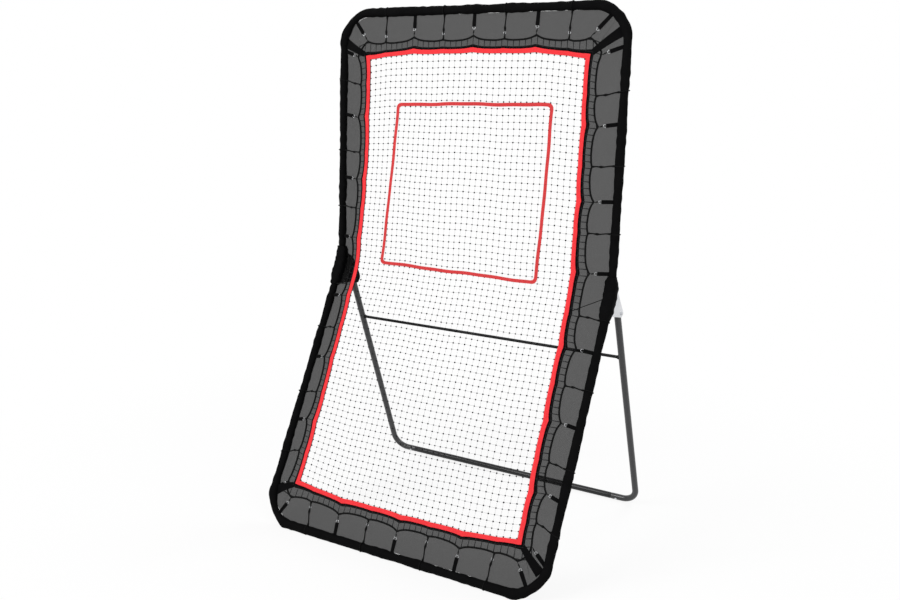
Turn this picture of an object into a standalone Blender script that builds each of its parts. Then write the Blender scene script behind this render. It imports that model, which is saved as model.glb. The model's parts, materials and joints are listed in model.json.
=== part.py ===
"""Pitching target net for lawn games: a bent two-part tube frame with a sleeve, skirt, net and target
bands, hinged plates and a folding rear leg. Metres, X right, Y away from the thrower, Z up."""

import math

import bpy
import numpy as np
from mathutils import Matrix

# Driving sizes of the frame
WIDTH = 1.190            # side tube to side tube, centre lines
UPPER_LEN = 0.980        # hinge axis to the top tube's centre line
LOWER_LEN = 1.090        # hinge axis to the bottom tube's centre line
UPPER_LEAN = math.radians(2.5)
LOWER_LEAN = math.radians(28.5)
LEG_LEAN = math.radians(21.0)
CORNER_R = 0.125
LEG_CORNER_R = 0.062
TUBE_R = 0.0125
TUBE_WALL = 0.0012
SIDES = 12
SWAGE_LEN = 0.042
ARM_SPARE = 0.004        # straight arm past the swaged end inside it
GAP = 0.0003             # clearance between pieces that lie on each other

# Hinge
LEG_PIVOT_BACK = 0.068
LEG_PIVOT_DOWN = 0.092
UPPER_TAIL = 0.014       # upper tube past the hinge axis
LOWER_START = 0.024      # lower tube below the hinge axis
LEG_TAIL = 0.014
PLATE_T = 0.0035
PLATE_R = 0.015
BOLT_R = 0.0040
HOLE_R = 0.00415
HEAD_R = 0.0065
HEAD_T = 0.0045
FIX_BOLTS = (0.040, 0.080)
COVER_T = 0.0022
COVER_FROM = 0.010
COVER_TO = 0.104

# Fabric and net
SLEEVE_T = 0.0025
SLEEVE_FROM_UP = 0.034
SLEEVE_FROM_LOW = 0.1045
FOLD_OUT = 0.065         # how far the taut net stands in front of the hinge
FOLD_DOWN = 0.016        # and how far below the hinge axis it folds
FOLD_GAP = 0.012         # half a mesh left open at the fold between the two net halves
RED_IN_SIDE = 0.120      # side tube centre line to the red band's outer edge
RED_IN_TOP = 0.148
RED_IN_BOTTOM = 0.144
RED_W = 0.015
BLACK_OUT = 0.009        # black backing band past the red band's outer edge
BAND_T = 0.0012
NET_PAST_RED = 0.037
STRAND = 0.0024
CELL = 0.118             # modelled strand spacing, five meshes of the real net
ROPE_R = 0.0030
ROPE_PULL = 0.012
SKIRT_T = 0.0010
STRAP_W = 0.012
STRAP_T = 0.0016
TIE_W = 0.0045
CORNER_STRAP_W = 0.020
CORNER_STRAP_T = 0.0015
CORNER_STRAP_FROM = 0.096  # from the far tube's centre line, where it meets the side tube
ZONE_W = 0.678
ZONE_H = 0.632
ZONE_BAND = 0.011
TOP_PITCH = 0.1295
UP_FIRST, UP_PITCH = 0.051, 0.128
LOW_FIRST, LOW_PITCH = 0.113, 0.1195
CROSSBAR_R = 0.0060
CROSSBAR_AT = 0.200      # along the leg from its pivot
SCREW_R = 0.0020
SCREW_HEAD_R = 0.0042
SCREW_HEAD_T = 0.0022

# Derived
SLEEVE_R = TUBE_R + GAP + SLEEVE_T
FLAT = math.cos(math.pi / SIDES)
HALF = WIDTH / 2
LOW_PHASE = math.radians(30) - LOWER_LEAN
LEG_PHASE = LEG_LEAN
HINGE_Z = SLEEVE_R * FLAT + LOWER_LEN * math.cos(LOWER_LEAN)
PIVOT_Z = HINGE_Z - LEG_PIVOT_DOWN
LEG_LEN = (PIVOT_Z - TUBE_R * FLAT) / math.cos(LEG_LEAN)
FRONT_REACH = LOWER_LEN * math.sin(LOWER_LEAN) + SLEEVE_R * FLAT
BACK_REACH = LEG_PIVOT_BACK + LEG_LEN * math.sin(LEG_LEAN) + TUBE_R * FLAT
HINGE_Y = (FRONT_REACH - BACK_REACH) / 2
PLATE_IN = TUBE_R + GAP
HEAD_FROM = PLATE_IN + PLATE_T + 0.0001
COVER_IN = HEAD_FROM + HEAD_T + GAP
COVER_HALF = COVER_IN + COVER_T


class Plane:
    """A working plane: u runs along X, v along the piece, n to the front."""

    def __init__(self, origin, along, front):
        self.o, self.e, self.f = (np.array(a, float) for a in (origin, along, front))

    def at(self, u, v, n=0.0):
        return self.o + np.array([u, 0.0, 0.0]) + v * self.e + n * self.f

    def matrix(self):
        m = Matrix.Identity(4)
        for i, axis in enumerate((np.array([1.0, 0, 0]), self.e, np.cross([1.0, 0, 0], self.e))):
            for k in range(3):
                m[k][i] = axis[k]
        for k in range(3):
            m[k][3] = self.o[k]
        return m


HINGE = (0.0, HINGE_Y, HINGE_Z)
UPPER = Plane(HINGE, (0, math.sin(UPPER_LEAN), math.cos(UPPER_LEAN)),
              (0, -math.cos(UPPER_LEAN), math.sin(UPPER_LEAN)))
LOWER = Plane(HINGE, (0, -math.sin(LOWER_LEAN), -math.cos(LOWER_LEAN)),
              (0, -math.cos(LOWER_LEAN), math.sin(LOWER_LEAN)))
LEG = Plane((0.0, HINGE_Y + LEG_PIVOT_BACK, PIVOT_Z), (0, math.sin(LEG_LEAN), -math.cos(LEG_LEAN)),
            (0, -math.cos(LEG_LEAN), -math.sin(LEG_LEAN)))


def net_plane(frame, length):
    """The taut net's plane, from the fold in front of the hinge to the centre of the far tube."""
    front = UPPER.f + LOWER.f
    fold = np.array(HINGE) + FOLD_OUT * front / np.linalg.norm(front) - np.array([0.0, 0.0, FOLD_DOWN])
    reach = frame.at(0, length) - fold
    size = float(np.linalg.norm(reach))
    along = reach / size
    out = np.cross([1.0, 0, 0], along)
    return Plane(fold, along, out if out @ frame.f > 0 else -out), size


NET_UP, SPAN_UP = net_plane(UPPER, UPPER_LEN)
NET_LOW, SPAN_LOW = net_plane(LOWER, LOWER_LEN)

COLOURS = {
    "steel": (0.06, 0.06, 0.065, 1), "zinc": (0.62, 0.63, 0.64, 1), "sleeve": (0.012, 0.012, 0.013, 1),
    "skirt": (0.10, 0.10, 0.10, 1), "net": (0.02, 0.02, 0.02, 1), "red": (0.80, 0.05, 0.06, 1),
    "rope": (0.015, 0.015, 0.016, 1),
}


def clear():
    for obj in list(bpy.data.objects):
        bpy.data.objects.remove(obj, do_unlink=True)
    for block in (bpy.data.meshes, bpy.data.curves, bpy.data.materials):
        for item in list(block):
            block.remove(item)
    scene = bpy.context.scene
    part = bpy.data.collections.new("pitching_target_net")
    cutters = bpy.data.collections.new("cutters")
    scene.collection.children.link(part)
    scene.collection.children.link(cutters)
    cutters.hide_render = True
    return part, cutters


PART, CUTTERS = clear()


def material(kind, name):
    mat = bpy.data.materials.new(name)
    mat.use_nodes = True
    mat.diffuse_color = COLOURS[kind]
    shader = mat.node_tree.nodes["Principled BSDF"]
    shader.inputs["Base Color"].default_value = COLOURS[kind]
    shader.inputs["Metallic"].default_value = 1.0 if kind == "zinc" else 0.0
    shader.inputs["Roughness"].default_value = 0.35 if kind in ("steel", "zinc") else 0.85
    return mat


def put(name, data, kind, cutter=False):
    obj = bpy.data.objects.new(name, data)
    if cutter:
        CUTTERS.objects.link(obj)
        obj.hide_render = True
        obj.display_type = "WIRE"
    else:
        PART.objects.link(obj)
        data.materials.append(material(kind, name + "_finish"))
    return obj


def mesh(name, verts, faces, kind, cutter=False):
    data = bpy.data.meshes.new(name)
    data.from_pydata([tuple(map(float, v)) for v in verts], [], [tuple(map(int, f)) for f in faces])
    data.validate()
    obj = put(name, data, kind, cutter)
    return obj


def boolean(obj, tool, how):
    mod = obj.modifiers.new(how.lower(), "BOOLEAN")
    mod.operation = how
    mod.solver = "EXACT"
    mod.object = tool


def rings(path, plane, radii, phase, sides=SIDES):
    """One polygon ring per path point, its facets facing the path's outer side and the front."""
    path = np.array(path, float)
    steps = np.diff(path, axis=0)
    steps = np.array([s / (np.linalg.norm(s) or 1.0) for s in steps])
    for i in range(len(steps)):
        if not steps[i].any():
            steps[i] = steps[i - 1] if i else steps[1]
    out = []
    for i, p in enumerate(path):
        a = steps[max(i - 1, 0)]
        b = steps[min(i, len(steps) - 1)]
        d = (a + b) / np.linalg.norm(a + b)
        grow = 1.0 / max(0.2, float(d @ b))
        side = np.array([-d[1], d[0]])
        for k in range(sides):
            t = phase + (k + 0.5) * 2 * math.pi / sides
            q = p + side * radii[i] * math.cos(t) * grow
            out.append(plane.at(q[0], q[1], radii[i] * math.sin(t)))
    return out


def skin(count, start=0, flip=False, sides=SIDES):
    faces = []
    for i in range(count - 1):
        for k in range(sides):
            a, b = start + i * sides + k, start + i * sides + (k + 1) % sides
            quad = (a, b, b + sides, a + sides)
            faces.append(quad[::-1] if flip else quad)
    return faces


def fix_normals(verts, faces):
    v = np.array(verts, float)
    v = v - v.mean(axis=0)
    total = 0.0
    for f in faces:
        for k in range(1, len(f) - 1):
            total += float(np.dot(v[f[0]], np.cross(v[f[k]], v[f[k + 1]])))
    return faces if total > 0 else [f[::-1] for f in faces]


def hollow(name, path, plane, radius, wall, phase, kind, cutter=False):
    """A tube along a flat path, open at both ends."""
    radii = radius if isinstance(radius, (list, tuple)) else [radius] * len(path)
    n = len(path)
    verts = rings(path, plane, radii, phase) + rings(path, plane, [r - wall for r in radii], phase)
    faces = skin(n) + skin(n, n * SIDES, True)
    for first, flip in ((0, False), ((n - 1) * SIDES, True)):
        for k in range(SIDES):
            a, b = first + k, first + (k + 1) % SIDES
            quad = (b, a, a + n * SIDES, b + n * SIDES)
            faces.append(quad[::-1] if flip else quad)
    return mesh(name, verts, fix_normals(verts, faces), kind, cutter)


def rod(name, path, plane, radius, phase, kind, sides=SIDES):
    """A closed solid rod along a flat path; the radius may step."""
    radii = radius if isinstance(radius, (list, tuple)) else [radius] * len(path)
    n = len(path)
    verts = rings(path, plane, radii, phase, sides)
    faces = skin(n, sides=sides) + [tuple(range(sides))[::-1], tuple(range((n - 1) * sides, n * sides))]
    return mesh(name, verts, fix_normals(verts, faces), kind)


def arc(cu, cv, r, a0, a1, steps=6):
    return [(cu + r * math.cos(a0 + (a1 - a0) * i / steps), cv + r * math.sin(a0 + (a1 - a0) * i / steps))
            for i in range(steps + 1)]


def u_path(start, length, r, half=HALF):
    """From the left end up, round the far edge and back to the right end."""
    return ([(-half, start)] + arc(-half + r, length - r, r, math.pi, math.pi / 2)
            + arc(half - r, length - r, r, math.pi / 2, 0) + [(half, start)])


def joint_in(r):
    """From a side tube's centre line to the end of its bent arm."""
    return r + SWAGE_LEN + ARM_SPARE


def bent_arm(side, start, length, r):
    """One side tube with its bend and the short arm toward the middle."""
    pts = [(-HALF, start)] + arc(-HALF + r, length - r, r, math.pi, math.pi / 2) + [(-HALF + joint_in(r), length)]
    return pts if side < 0 else [(-u, v) for u, v in pts][::-1]


def cylinders(name, specs):
    """Several closed cylinders in one cutter: each is a start point, an end point and a radius."""
    verts, faces = [], []
    for a, b, r in specs:
        a, b = np.array(a, float), np.array(b, float)
        d = (b - a) / np.linalg.norm(b - a)
        x = np.cross(d, [0.0, 0.6, 0.8] if abs(d[0]) > 0.5 else [1.0, 0.0, 0.0])
        x = x / np.linalg.norm(x)
        y = np.cross(d, x)
        base = len(verts)
        for end in (a, b):
            for k in range(SIDES):
                t = 2 * math.pi * k / SIDES
                verts.append(end + r * (math.cos(t) * x + math.sin(t) * y))
        own = [(base + k, base + (k + 1) % SIDES, base + SIDES + (k + 1) % SIDES, base + SIDES + k)
               for k in range(SIDES)]
        own += [tuple(range(base, base + SIDES))[::-1], tuple(range(base + SIDES, base + 2 * SIDES))]
        faces += own
    return mesh(name, verts, faces, "steel", True)


def boxes(name, specs, kind, cutter=False):
    """Flat strips as closed boxes: start, end, direction across, width and thickness."""
    verts, faces = [], []
    for a, b, across, width, thick in specs:
        a, b, across = (np.array(q, float) for q in (a, b, across))
        d = (b - a) / np.linalg.norm(b - a)
        across = across - d * (across @ d)
        across = across / np.linalg.norm(across)
        face = np.cross(d, across)
        base = len(verts)
        for end in (a, b):
            for su, sn in ((-1, -1), (1, -1), (1, 1), (-1, 1)):
                verts.append(end + across * su * width / 2 + face * sn * thick / 2)
        faces += [tuple(base + i for i in f) for f in
                  ((0, 3, 2, 1), (4, 5, 6, 7), (0, 1, 5, 4), (1, 2, 6, 5), (2, 3, 7, 6), (3, 0, 4, 7))]
    return mesh(name, verts, fix_normals(verts, faces), kind, cutter)


def flat(name, outlines, plane, low, high, kind):
    """A flat outline with holes, filled and given its thickness between two layers of a plane."""
    data = bpy.data.curves.new(name, "CURVE")
    data.dimensions = "2D"
    data.fill_mode = "BOTH"
    data.extrude = (high - low) / 2
    for outline in outlines:
        spline = data.splines.new("POLY")
        spline.points.add(len(outline) - 1)
        for point, (u, v) in zip(spline.points, outline):
            point.co = (u, v, 0.0, 1.0)
        spline.use_cyclic_u = True
    obj = put(name, data, kind)
    m = plane.matrix()
    front = np.cross([1.0, 0, 0], plane.e)
    mid = (low + high) / 2 * (1 if front @ plane.f > 0 else -1)
    obj.matrix_world = m @ Matrix.Translation((0, 0, mid))
    return obj


def lattice(name, us, vs, strand, plane, kind):
    """Crossing strands as one flat grid."""
    cu = sorted([u + s * strand / 2 for u in us for s in (-1, 1)])
    cv = sorted([v + s * strand / 2 for v in vs for s in (-1, 1)])
    nu, nv = len(cu) - 1, len(cv) - 1
    verts = [plane.at(u, v, n) for n in (-strand / 2, strand / 2) for v in cv for u in cu]
    layer = len(cu) * len(cv)

    def idx(i, j, top):
        return top * layer + j * len(cu) + i

    def full(i, j):
        return 0 <= i < nu and 0 <= j < nv and not (i % 2 and j % 2)

    faces = []
    for i in range(nu):
        for j in range(nv):
            if not full(i, j):
                continue
            q = [(i, j), (i + 1, j), (i + 1, j + 1), (i, j + 1)]
            faces.append(tuple(idx(a, b, 1) for a, b in q))
            faces.append(tuple(idx(a, b, 0) for a, b in q[::-1]))
            for (a, b), (c, d), (di, dj) in ((q[0], q[1], (0, -1)), (q[1], q[2], (1, 0)),
                                             (q[2], q[3], (0, 1)), (q[3], q[0], (-1, 0))):
                if not full(i + di, j + dj):
                    faces.append((idx(a, b, 0), idx(c, d, 0), idx(c, d, 1), idx(a, b, 1)))
    return mesh(name, verts, fix_normals(verts, faces), kind)


def ruled(name, outer, inner, thick, front, kind):
    """A thin sheet between two matching edge curves."""
    n = len(outer)
    offs = np.array(front, float) * thick / 2
    verts = [np.array(p) + s * offs for s in (1, -1) for line in (outer, inner) for p in line]
    o1, i1, o2, i2 = 0, n, 2 * n, 3 * n
    faces = [(o1, o2, i2, i1), (o1 + n - 1, i1 + n - 1, i2 + n - 1, o2 + n - 1)]
    for k in range(n - 1):
        faces += [(o1 + k, i1 + k, i1 + k + 1, o1 + k + 1), (o2 + k, o2 + k + 1, i2 + k + 1, i2 + k),
                  (o1 + k, o1 + k + 1, o2 + k + 1, o2 + k), (i1 + k, i2 + k, i2 + k + 1, i1 + k + 1)]
    return mesh(name, verts, fix_normals(verts, faces), kind)


def across_hole(u, y, z, r=HOLE_R):
    return ((u - 0.03, y, z), (u + 0.03, y, z), r)


def frame_tubes(label, plane, start, length, r, phase, cross_name, holes):
    """Two bent side tubes and the straight tube whose swaged ends plug into them."""
    made = []
    for side, word in ((-1, "left"), (1, "right")):
        arm = hollow(f"{label}_{word}_tube", bent_arm(side, start, length, r), plane, TUBE_R, TUBE_WALL,
                     phase, "steel")
        boolean(arm, cylinders(f"{label}_{word}_holes", holes(side)), "DIFFERENCE")
        made.append(arm)
    end = HALF - joint_in(r) - GAP
    small = TUBE_R - TUBE_WALL - GAP
    step = 0.004
    path = [(-end - SWAGE_LEN, length), (-end + step / 2, length), (-end + step, length),
            (end - step, length), (end - step / 2, length), (end + SWAGE_LEN, length)]
    cross = hollow(cross_name, path, plane, [small, small, TUBE_R, TUBE_R, small, small], TUBE_WALL,
                   phase, "steel")
    return made, cross


def attachments(plane, net, length, span, first, pitch, count, strap_even, rope_end, rope_side):
    """Strap and tie strips from the sleeve's surface into the pulled points of the edge rope."""
    specs, side_points, end_points = [], [], []

    def strip(centre, target, along, is_strap, clear=GAP):
        d = target - centre
        d = d / np.linalg.norm(d)
        specs.append((centre + d * (SLEEVE_R + clear), target, along,
                      STRAP_W if is_strap else TIE_W, STRAP_T if is_strap else TIE_W))

    for k in range(count):
        v = first + pitch * k
        s = float((v - (net.o - plane.o) @ plane.e) / (net.e @ plane.e))
        is_strap = (k % 2 == 0) == strap_even
        side_points.append((s, ROPE_PULL))
        for side in (-1, 1):
            strip(plane.at(side * HALF, v), net.at(side * (rope_side + ROPE_PULL), s), plane.e, is_strap)
    for k in range(-3, 4):
        u = TOP_PITCH * k
        end_points.append((u, ROPE_PULL))
        strip(plane.at(u, length), net.at(u, rope_end + ROPE_PULL), (1, 0, 0), k % 2 == 0)
    c = CORNER_R
    bend = GAP + c * (1 - math.cos(math.pi / 24)) + STRAP_W ** 2 / (8 * (c - SLEEVE_R))  # chords lie inside the arc
    for side in (-1, 1):
        centre = plane.at(side * (HALF - c + c * math.cos(1.15)), length - c + c * math.sin(1.15))
        u = side * 4 * TOP_PITCH * 0.955
        strip(centre, net.at(u, rope_end + ROPE_PULL), (1, 0, 0), True, bend)
    end_points = [(-4 * TOP_PITCH * 0.955, ROPE_PULL)] + end_points + [(4 * TOP_PITCH * 0.955, ROPE_PULL)]
    return specs, side_points, end_points


def rope_path(side_points, end_points, rope_side, rope_end):
    """The edge rope's line in the net plane, drawn out at each attachment."""
    left = [(-rope_side, FOLD_GAP)]
    for i, (s, pull) in enumerate(side_points):
        left.append((-rope_side - pull, s))
        if i + 1 < len(side_points):
            left.append((-rope_side, (s + side_points[i + 1][0]) / 2))
    corner = [(-rope_side - ROPE_PULL / 3, rope_end)]
    far = []
    for i, (u, pull) in enumerate(end_points):
        far.append((u, rope_end + pull))
        if i + 1 < len(end_points):
            far.append(((u + end_points[i + 1][0]) / 2, rope_end))
    right = [(-u, s) for u, s in (left + corner)][::-1]
    return left + corner + far + right


def half_net(word, plane, net, length, span, red_in, first, pitch, count, strap_even, sleeve_from, phase, cover):
    """The sleeve, skirt, net, rope and bands of one half of the frame."""
    red_end = span - red_in
    red_side = HALF - RED_IN_SIDE
    net_side, net_end = red_side + NET_PAST_RED, red_end + NET_PAST_RED
    rope_side, rope_end = net_side + STRAND / 2 + GAP + ROPE_R, net_end + STRAND / 2 + GAP + ROPE_R
    hollow(f"sleeve_{word}", u_path(sleeve_from, length, CORNER_R), plane, SLEEVE_R, SLEEVE_T, phase, "sleeve")
    specs, side_points, end_points = attachments(plane, net, length, span, first, pitch, count, strap_even,
                                                 rope_end, rope_side)
    # Edge rope with the straps and ties that lace it to the sleeve
    rope = rod(f"edge_rope_{word}", rope_path(side_points, end_points, rope_side, rope_end), net, ROPE_R, 0.0,
               "rope", 6)
    boolean(rope, boxes(f"straps_{word}", specs, "rope", True), "UNION")
    # Net
    cols = round(2 * net_side / CELL)
    rows = round((net_end - FOLD_GAP) / CELL)
    us = [-net_side + 2 * net_side * i / cols for i in range(cols + 1)]
    vs = [FOLD_GAP + STRAND / 2 + (net_end - FOLD_GAP - STRAND / 2) * i / rows for i in range(rows + 1)]
    lattice(f"net_{word}", us, vs, STRAND, net, "net")
    # Bands on both faces of the net
    for name, out, wide, low, kind in (
        (f"red_border_{word}", 0.0, RED_W, STRAND / 2 + GAP, "red"),
        (f"black_border_{word}", BLACK_OUT, RED_W + BLACK_OUT, -STRAND / 2 - GAP - BAND_T, "sleeve"),
    ):
        o, e = red_side + out, red_end + out
        i, f = o - wide, e - wide
        flat(name, [[(-o, FOLD_GAP), (-o, e), (o, e), (o, FOLD_GAP), (i, FOLD_GAP), (i, f), (-i, f),
                     (-i, FOLD_GAP)]], net, low, low + BAND_T, kind)
    # Skirt between the sleeve and the bands
    near = COVER_HALF + 0.0006
    far = SLEEVE_R + 0.0004
    r = CORNER_R - far
    turn = arc(-HALF + CORNER_R, length - CORNER_R, r, math.pi, math.pi / 2, 6)
    outer = [(-HALF + near, FOLD_GAP), (-HALF + near, cover), (-HALF + far, cover + 0.006),
             (-HALF + far, length * 0.55)] + turn
    outer = outer + [(0.0, length - far)] + [(-u, v) for u, v in outer[::-1]]
    edge = red_side - 0.004
    end = red_end - 0.004
    small = 0.020
    turn = arc(-edge + small, end - small, small, math.pi, math.pi / 2, 6)
    inner = [(-edge, FOLD_GAP), (-edge, cover * span / length), (-edge, (cover + 0.006) * span / length),
             (-edge, length * 0.55)] + turn
    inner = inner + [(0.0, end)] + [(-u, v) for u, v in inner[::-1]]
    behind = -STRAND / 2 - 2 * GAP - BAND_T - SKIRT_T
    ruled(f"skirt_{word}", [plane.at(u, v, -0.004) for u, v in outer],
          [net.at(u, v, behind) for u, v in inner], SKIRT_T, plane.f, "skirt")
    # Corner straps in front of rope and bands
    lift = max(ROPE_R, STRAND / 2 + GAP + BAND_T) + GAP
    tube = sleeve_inside(CORNER_STRAP_FROM)
    slope = (red_in - CORNER_STRAP_FROM) / (tube - red_side)
    cut = CORNER_STRAP_W / 2 * math.hypot(1.0, slope)
    tip = red_side + 0.003
    top = span - CORNER_STRAP_FROM
    low = top - slope * (tube - tip)
    over, under = sleeve_inside(CORNER_STRAP_FROM - cut), sleeve_inside(CORNER_STRAP_FROM + cut)
    for side, hand in ((-1, "left"), (1, "right")):
        flat(f"corner_strap_{word}_{hand}", [[(side * over, top + cut), (side * under, top - cut),
                                             (side * tip, low - cut), (side * tip, low + cut)]],
             net, lift, lift + CORNER_STRAP_T, "sleeve")


def sleeve_inside(from_far):
    """Half the clear width between the sleeves at a distance from the far tube, beside the bend or below it."""
    inner = (CORNER_R - SLEEVE_R) * math.cos(math.pi / 24) - GAP  # the bend's chords lie inside its arc
    up = max(CORNER_R - from_far, 0.0)
    return HALF - CORNER_R + math.sqrt(inner * inner - up * up)


def hull_outline(circles, steps=20):
    """The outline round several circles, as a convex polygon."""
    pts = sorted({(round(c[0] + r * math.cos(2 * math.pi * k / steps), 7),
                   round(c[1] + r * math.sin(2 * math.pi * k / steps), 7)) for c, r in circles for k in range(steps)})

    def chain(points):
        out = []
        for p in points:
            while len(out) > 1 and ((out[-1][0] - out[-2][0]) * (p[1] - out[-2][1])
                                    - (out[-1][1] - out[-2][1]) * (p[0] - out[-2][0])) <= 1e-12:
                out.pop()
            out.append(p)
        return out[:-1]

    return chain(pts) + chain(pts[::-1])


def circle(c, r, steps=SIDES):
    return [(c[0] + r * math.cos(2 * math.pi * k / steps), c[1] + r * math.sin(2 * math.pi * k / steps))
            for k in range(steps)]


def plate(name, x, outlines, kind):
    """A flat plate square to X, its outline given as Y and Z offsets from the hinge axis."""
    data = bpy.data.curves.new(name, "CURVE")
    data.dimensions = "2D"
    data.fill_mode = "BOTH"
    data.extrude = PLATE_T / 2
    for outline in outlines:
        spline = data.splines.new("POLY")
        spline.points.add(len(outline) - 1)
        for point, (y, z) in zip(spline.points, outline):
            point.co = (y, z, 0.0, 1.0)
        spline.use_cyclic_u = True
    obj = put(name, data, kind)
    obj.matrix_world = Matrix(((0, 0, 1, x), (1, 0, 0, HINGE_Y), (0, 1, 0, HINGE_Z), (0, 0, 0, 1)))
    return obj


def along_x(y, z):
    """A plane whose v axis runs along X, for bolts and nuts."""
    plane = Plane((0, y, z), (0, 1, 0), (0, 0, 1))
    return plane


def bolt_set(label, side, y, z):
    """A bolt with its head outside and a nut inside the frame."""
    x = side * HALF
    plane = along_x(y, z)
    out, inn = HEAD_FROM, -HEAD_FROM - HEAD_T
    if side > 0:
        path = [(x + inn, 0), (x + out, 0), (x + out, 0), (x + out + HEAD_T, 0)]
        radii = [BOLT_R, BOLT_R, HEAD_R, HEAD_R]
        nut = [(x - HEAD_FROM - HEAD_T + 0.0005, 0), (x - HEAD_FROM, 0)]
    else:
        path = [(x - out - HEAD_T, 0), (x - out, 0), (x - out, 0), (x - inn, 0)]
        radii = [HEAD_R, HEAD_R, BOLT_R, BOLT_R]
        nut = [(x + HEAD_FROM, 0), (x + HEAD_FROM + HEAD_T - 0.0005, 0)]
    rod(f"{label}_bolt_" + ("right" if side > 0 else "left"), path, plane, radii, 0.0, "zinc")
    hollow(f"{label}_nut_" + ("right" if side > 0 else "left"), nut, plane, HEAD_R, HEAD_R - HOLE_R, 0.0, "zinc")


def yz(plane, v, n=0.0):
    p = plane.at(0, v, n)
    return p[1] - HINGE_Y, p[2] - HINGE_Z


def hinges():
    pivot = (LEG_PIVOT_BACK, -LEG_PIVOT_DOWN)
    fixes = [yz(LOWER, w) for w in FIX_BOLTS]
    outline = hull_outline([((0.0, 0.0), PLATE_R), (fixes[1], PLATE_R - 0.003), (pivot, PLATE_R)])
    holes = [circle((0.0, 0.0), HOLE_R)] + [circle(f, HOLE_R) for f in fixes] + [circle(pivot, HOLE_R)]
    for side, word in ((-1, "left"), (1, "right")):
        for sign, where in ((1, "outer"), (-1, "inner")):
            x = side * (HALF + sign * (PLATE_IN + PLATE_T / 2))
            plate(f"hinge_plate_{where}_{word}", x, [outline] + holes, "zinc")
        bolt_set("tilt_pivot", side, HINGE_Y, HINGE_Z)
        bolt_set("frame_fix_upper", side, HINGE_Y + fixes[0][0], HINGE_Z + fixes[0][1])
        bolt_set("frame_fix_lower", side, HINGE_Y + fixes[1][0], HINGE_Z + fixes[1][1])
        bolt_set("leg_pivot", side, HINGE_Y + pivot[0], HINGE_Z + pivot[1])
        # Fabric cover over the hinge, open to the back
        o, i, t = COVER_HALF, COVER_IN, COVER_T
        front, back, soft = 0.0225, -0.010, 0.008
        prof = [(-o, back), (-o, front - soft), (-o + soft, front), (o - soft, front), (o, front - soft), (o, back),
                (i, back), (i, front - soft - t * 0.41), (i - soft + t * 0.59, front - t),
                (-i + soft - t * 0.59, front - t), (-i, front - soft - t * 0.41), (-i, back)]
        n = len(prof)
        verts = [LOWER.at(side * HALF + u, w, f) for w in (COVER_FROM, COVER_TO) for u, f in prof]
        faces = [(k, (k + 1) % n, n + (k + 1) % n, n + k) for k in range(n)]
        caps = [(0, 1, 10, 11), (1, 2, 9, 10), (2, 3, 8, 9), (3, 4, 7, 8), (4, 5, 6, 7)]
        faces += [c[::-1] for c in caps] + [tuple(n + q for q in c) for c in caps]
        mesh(f"hinge_cover_{word}", verts, fix_normals(verts, faces), "sleeve")


def leg_frame():
    def holes(side):
        u = side * HALF
        at = side * (HALF - joint_in(LEG_CORNER_R) + 0.022)
        return [across_hole(u, LEG.o[1], LEG.o[2]),
                (LEG.at(at, LEG_LEN, 0.002), LEG.at(at, LEG_LEN, 0.03), SCREW_R + GAP)]

    arms, cross = frame_tubes("leg", LEG, -LEG_TAIL, LEG_LEN, LEG_CORNER_R, LEG_PHASE, "leg_bottom_tube", holes)
    spots = []
    for side, word in ((-1, "left"), (1, "right")):
        at = side * (HALF - joint_in(LEG_CORNER_R) + 0.022)
        spots.append((LEG.at(at, LEG_LEN, 0.002), LEG.at(at, LEG_LEN, 0.03), SCREW_R + GAP))
        front = LEG.f
        head = TUBE_R + GAP
        line = Plane(LEG.at(at, LEG_LEN), front, (1, 0, 0))
        rod_along(f"leg_joint_screw_{word}", line, [0.0085, head, head, head + SCREW_HEAD_T],
                  [SCREW_R, SCREW_R, SCREW_HEAD_R, SCREW_HEAD_R * 0.8], "zinc")
    boolean(cross, cylinders("leg_joint_holes", spots), "DIFFERENCE")
    end = HALF - TUBE_R - GAP
    rod("leg_cross_bar", [(-end, CROSSBAR_AT), (end, CROSSBAR_AT)], LEG, CROSSBAR_R, LEG_PHASE, "steel")


def rod_along(name, plane, stations, radii, kind):
    """A turned rod along a plane's v axis."""
    side = np.cross(plane.e, plane.f)
    verts = []
    for v, r in zip(stations, radii):
        for k in range(SIDES):
            t = 2 * math.pi * k / SIDES
            verts.append(plane.o + v * plane.e + r * (math.cos(t) * plane.f + math.sin(t) * side))
    n = len(stations)
    faces = skin(n) + [tuple(range(SIDES))[::-1], tuple(range((n - 1) * SIDES, n * SIDES))]
    return mesh(name, verts, fix_normals(verts, faces), kind)


def build():
    frame_tubes("upper", UPPER, -UPPER_TAIL, UPPER_LEN, CORNER_R, 0.0, "top_cross_tube",
                lambda side: [across_hole(side * HALF, HINGE_Y, HINGE_Z)])
    frame_tubes("lower", LOWER, LOWER_START, LOWER_LEN, CORNER_R, LOW_PHASE, "bottom_cross_tube",
                lambda side: [across_hole(side * HALF, *LOWER.at(0, w)[1:]) for w in FIX_BOLTS])
    half_net("upper", UPPER, NET_UP, UPPER_LEN, SPAN_UP, RED_IN_TOP, UP_FIRST, UP_PITCH, 7, True,
             SLEEVE_FROM_UP, 0.0, 0.028)
    half_net("lower", LOWER, NET_LOW, LOWER_LEN, SPAN_LOW, RED_IN_BOTTOM, LOW_FIRST, LOW_PITCH, 8, False,
             SLEEVE_FROM_LOW, LOW_PHASE, COVER_TO + 0.002)
    w, h, b = ZONE_W / 2, ZONE_H, ZONE_BAND
    base = FOLD_GAP + 0.004
    low = STRAND / 2 + GAP
    flat("strike_zone", [[(-w, base), (w, base), (w, base + h), (-w, base + h)],
                         [(-w + b, base + b), (w - b, base + b), (w - b, base + h - b), (-w + b, base + h - b)]],
         NET_UP, low, low + BAND_T, "red")
    hinges()
    leg_frame()


build()
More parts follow.
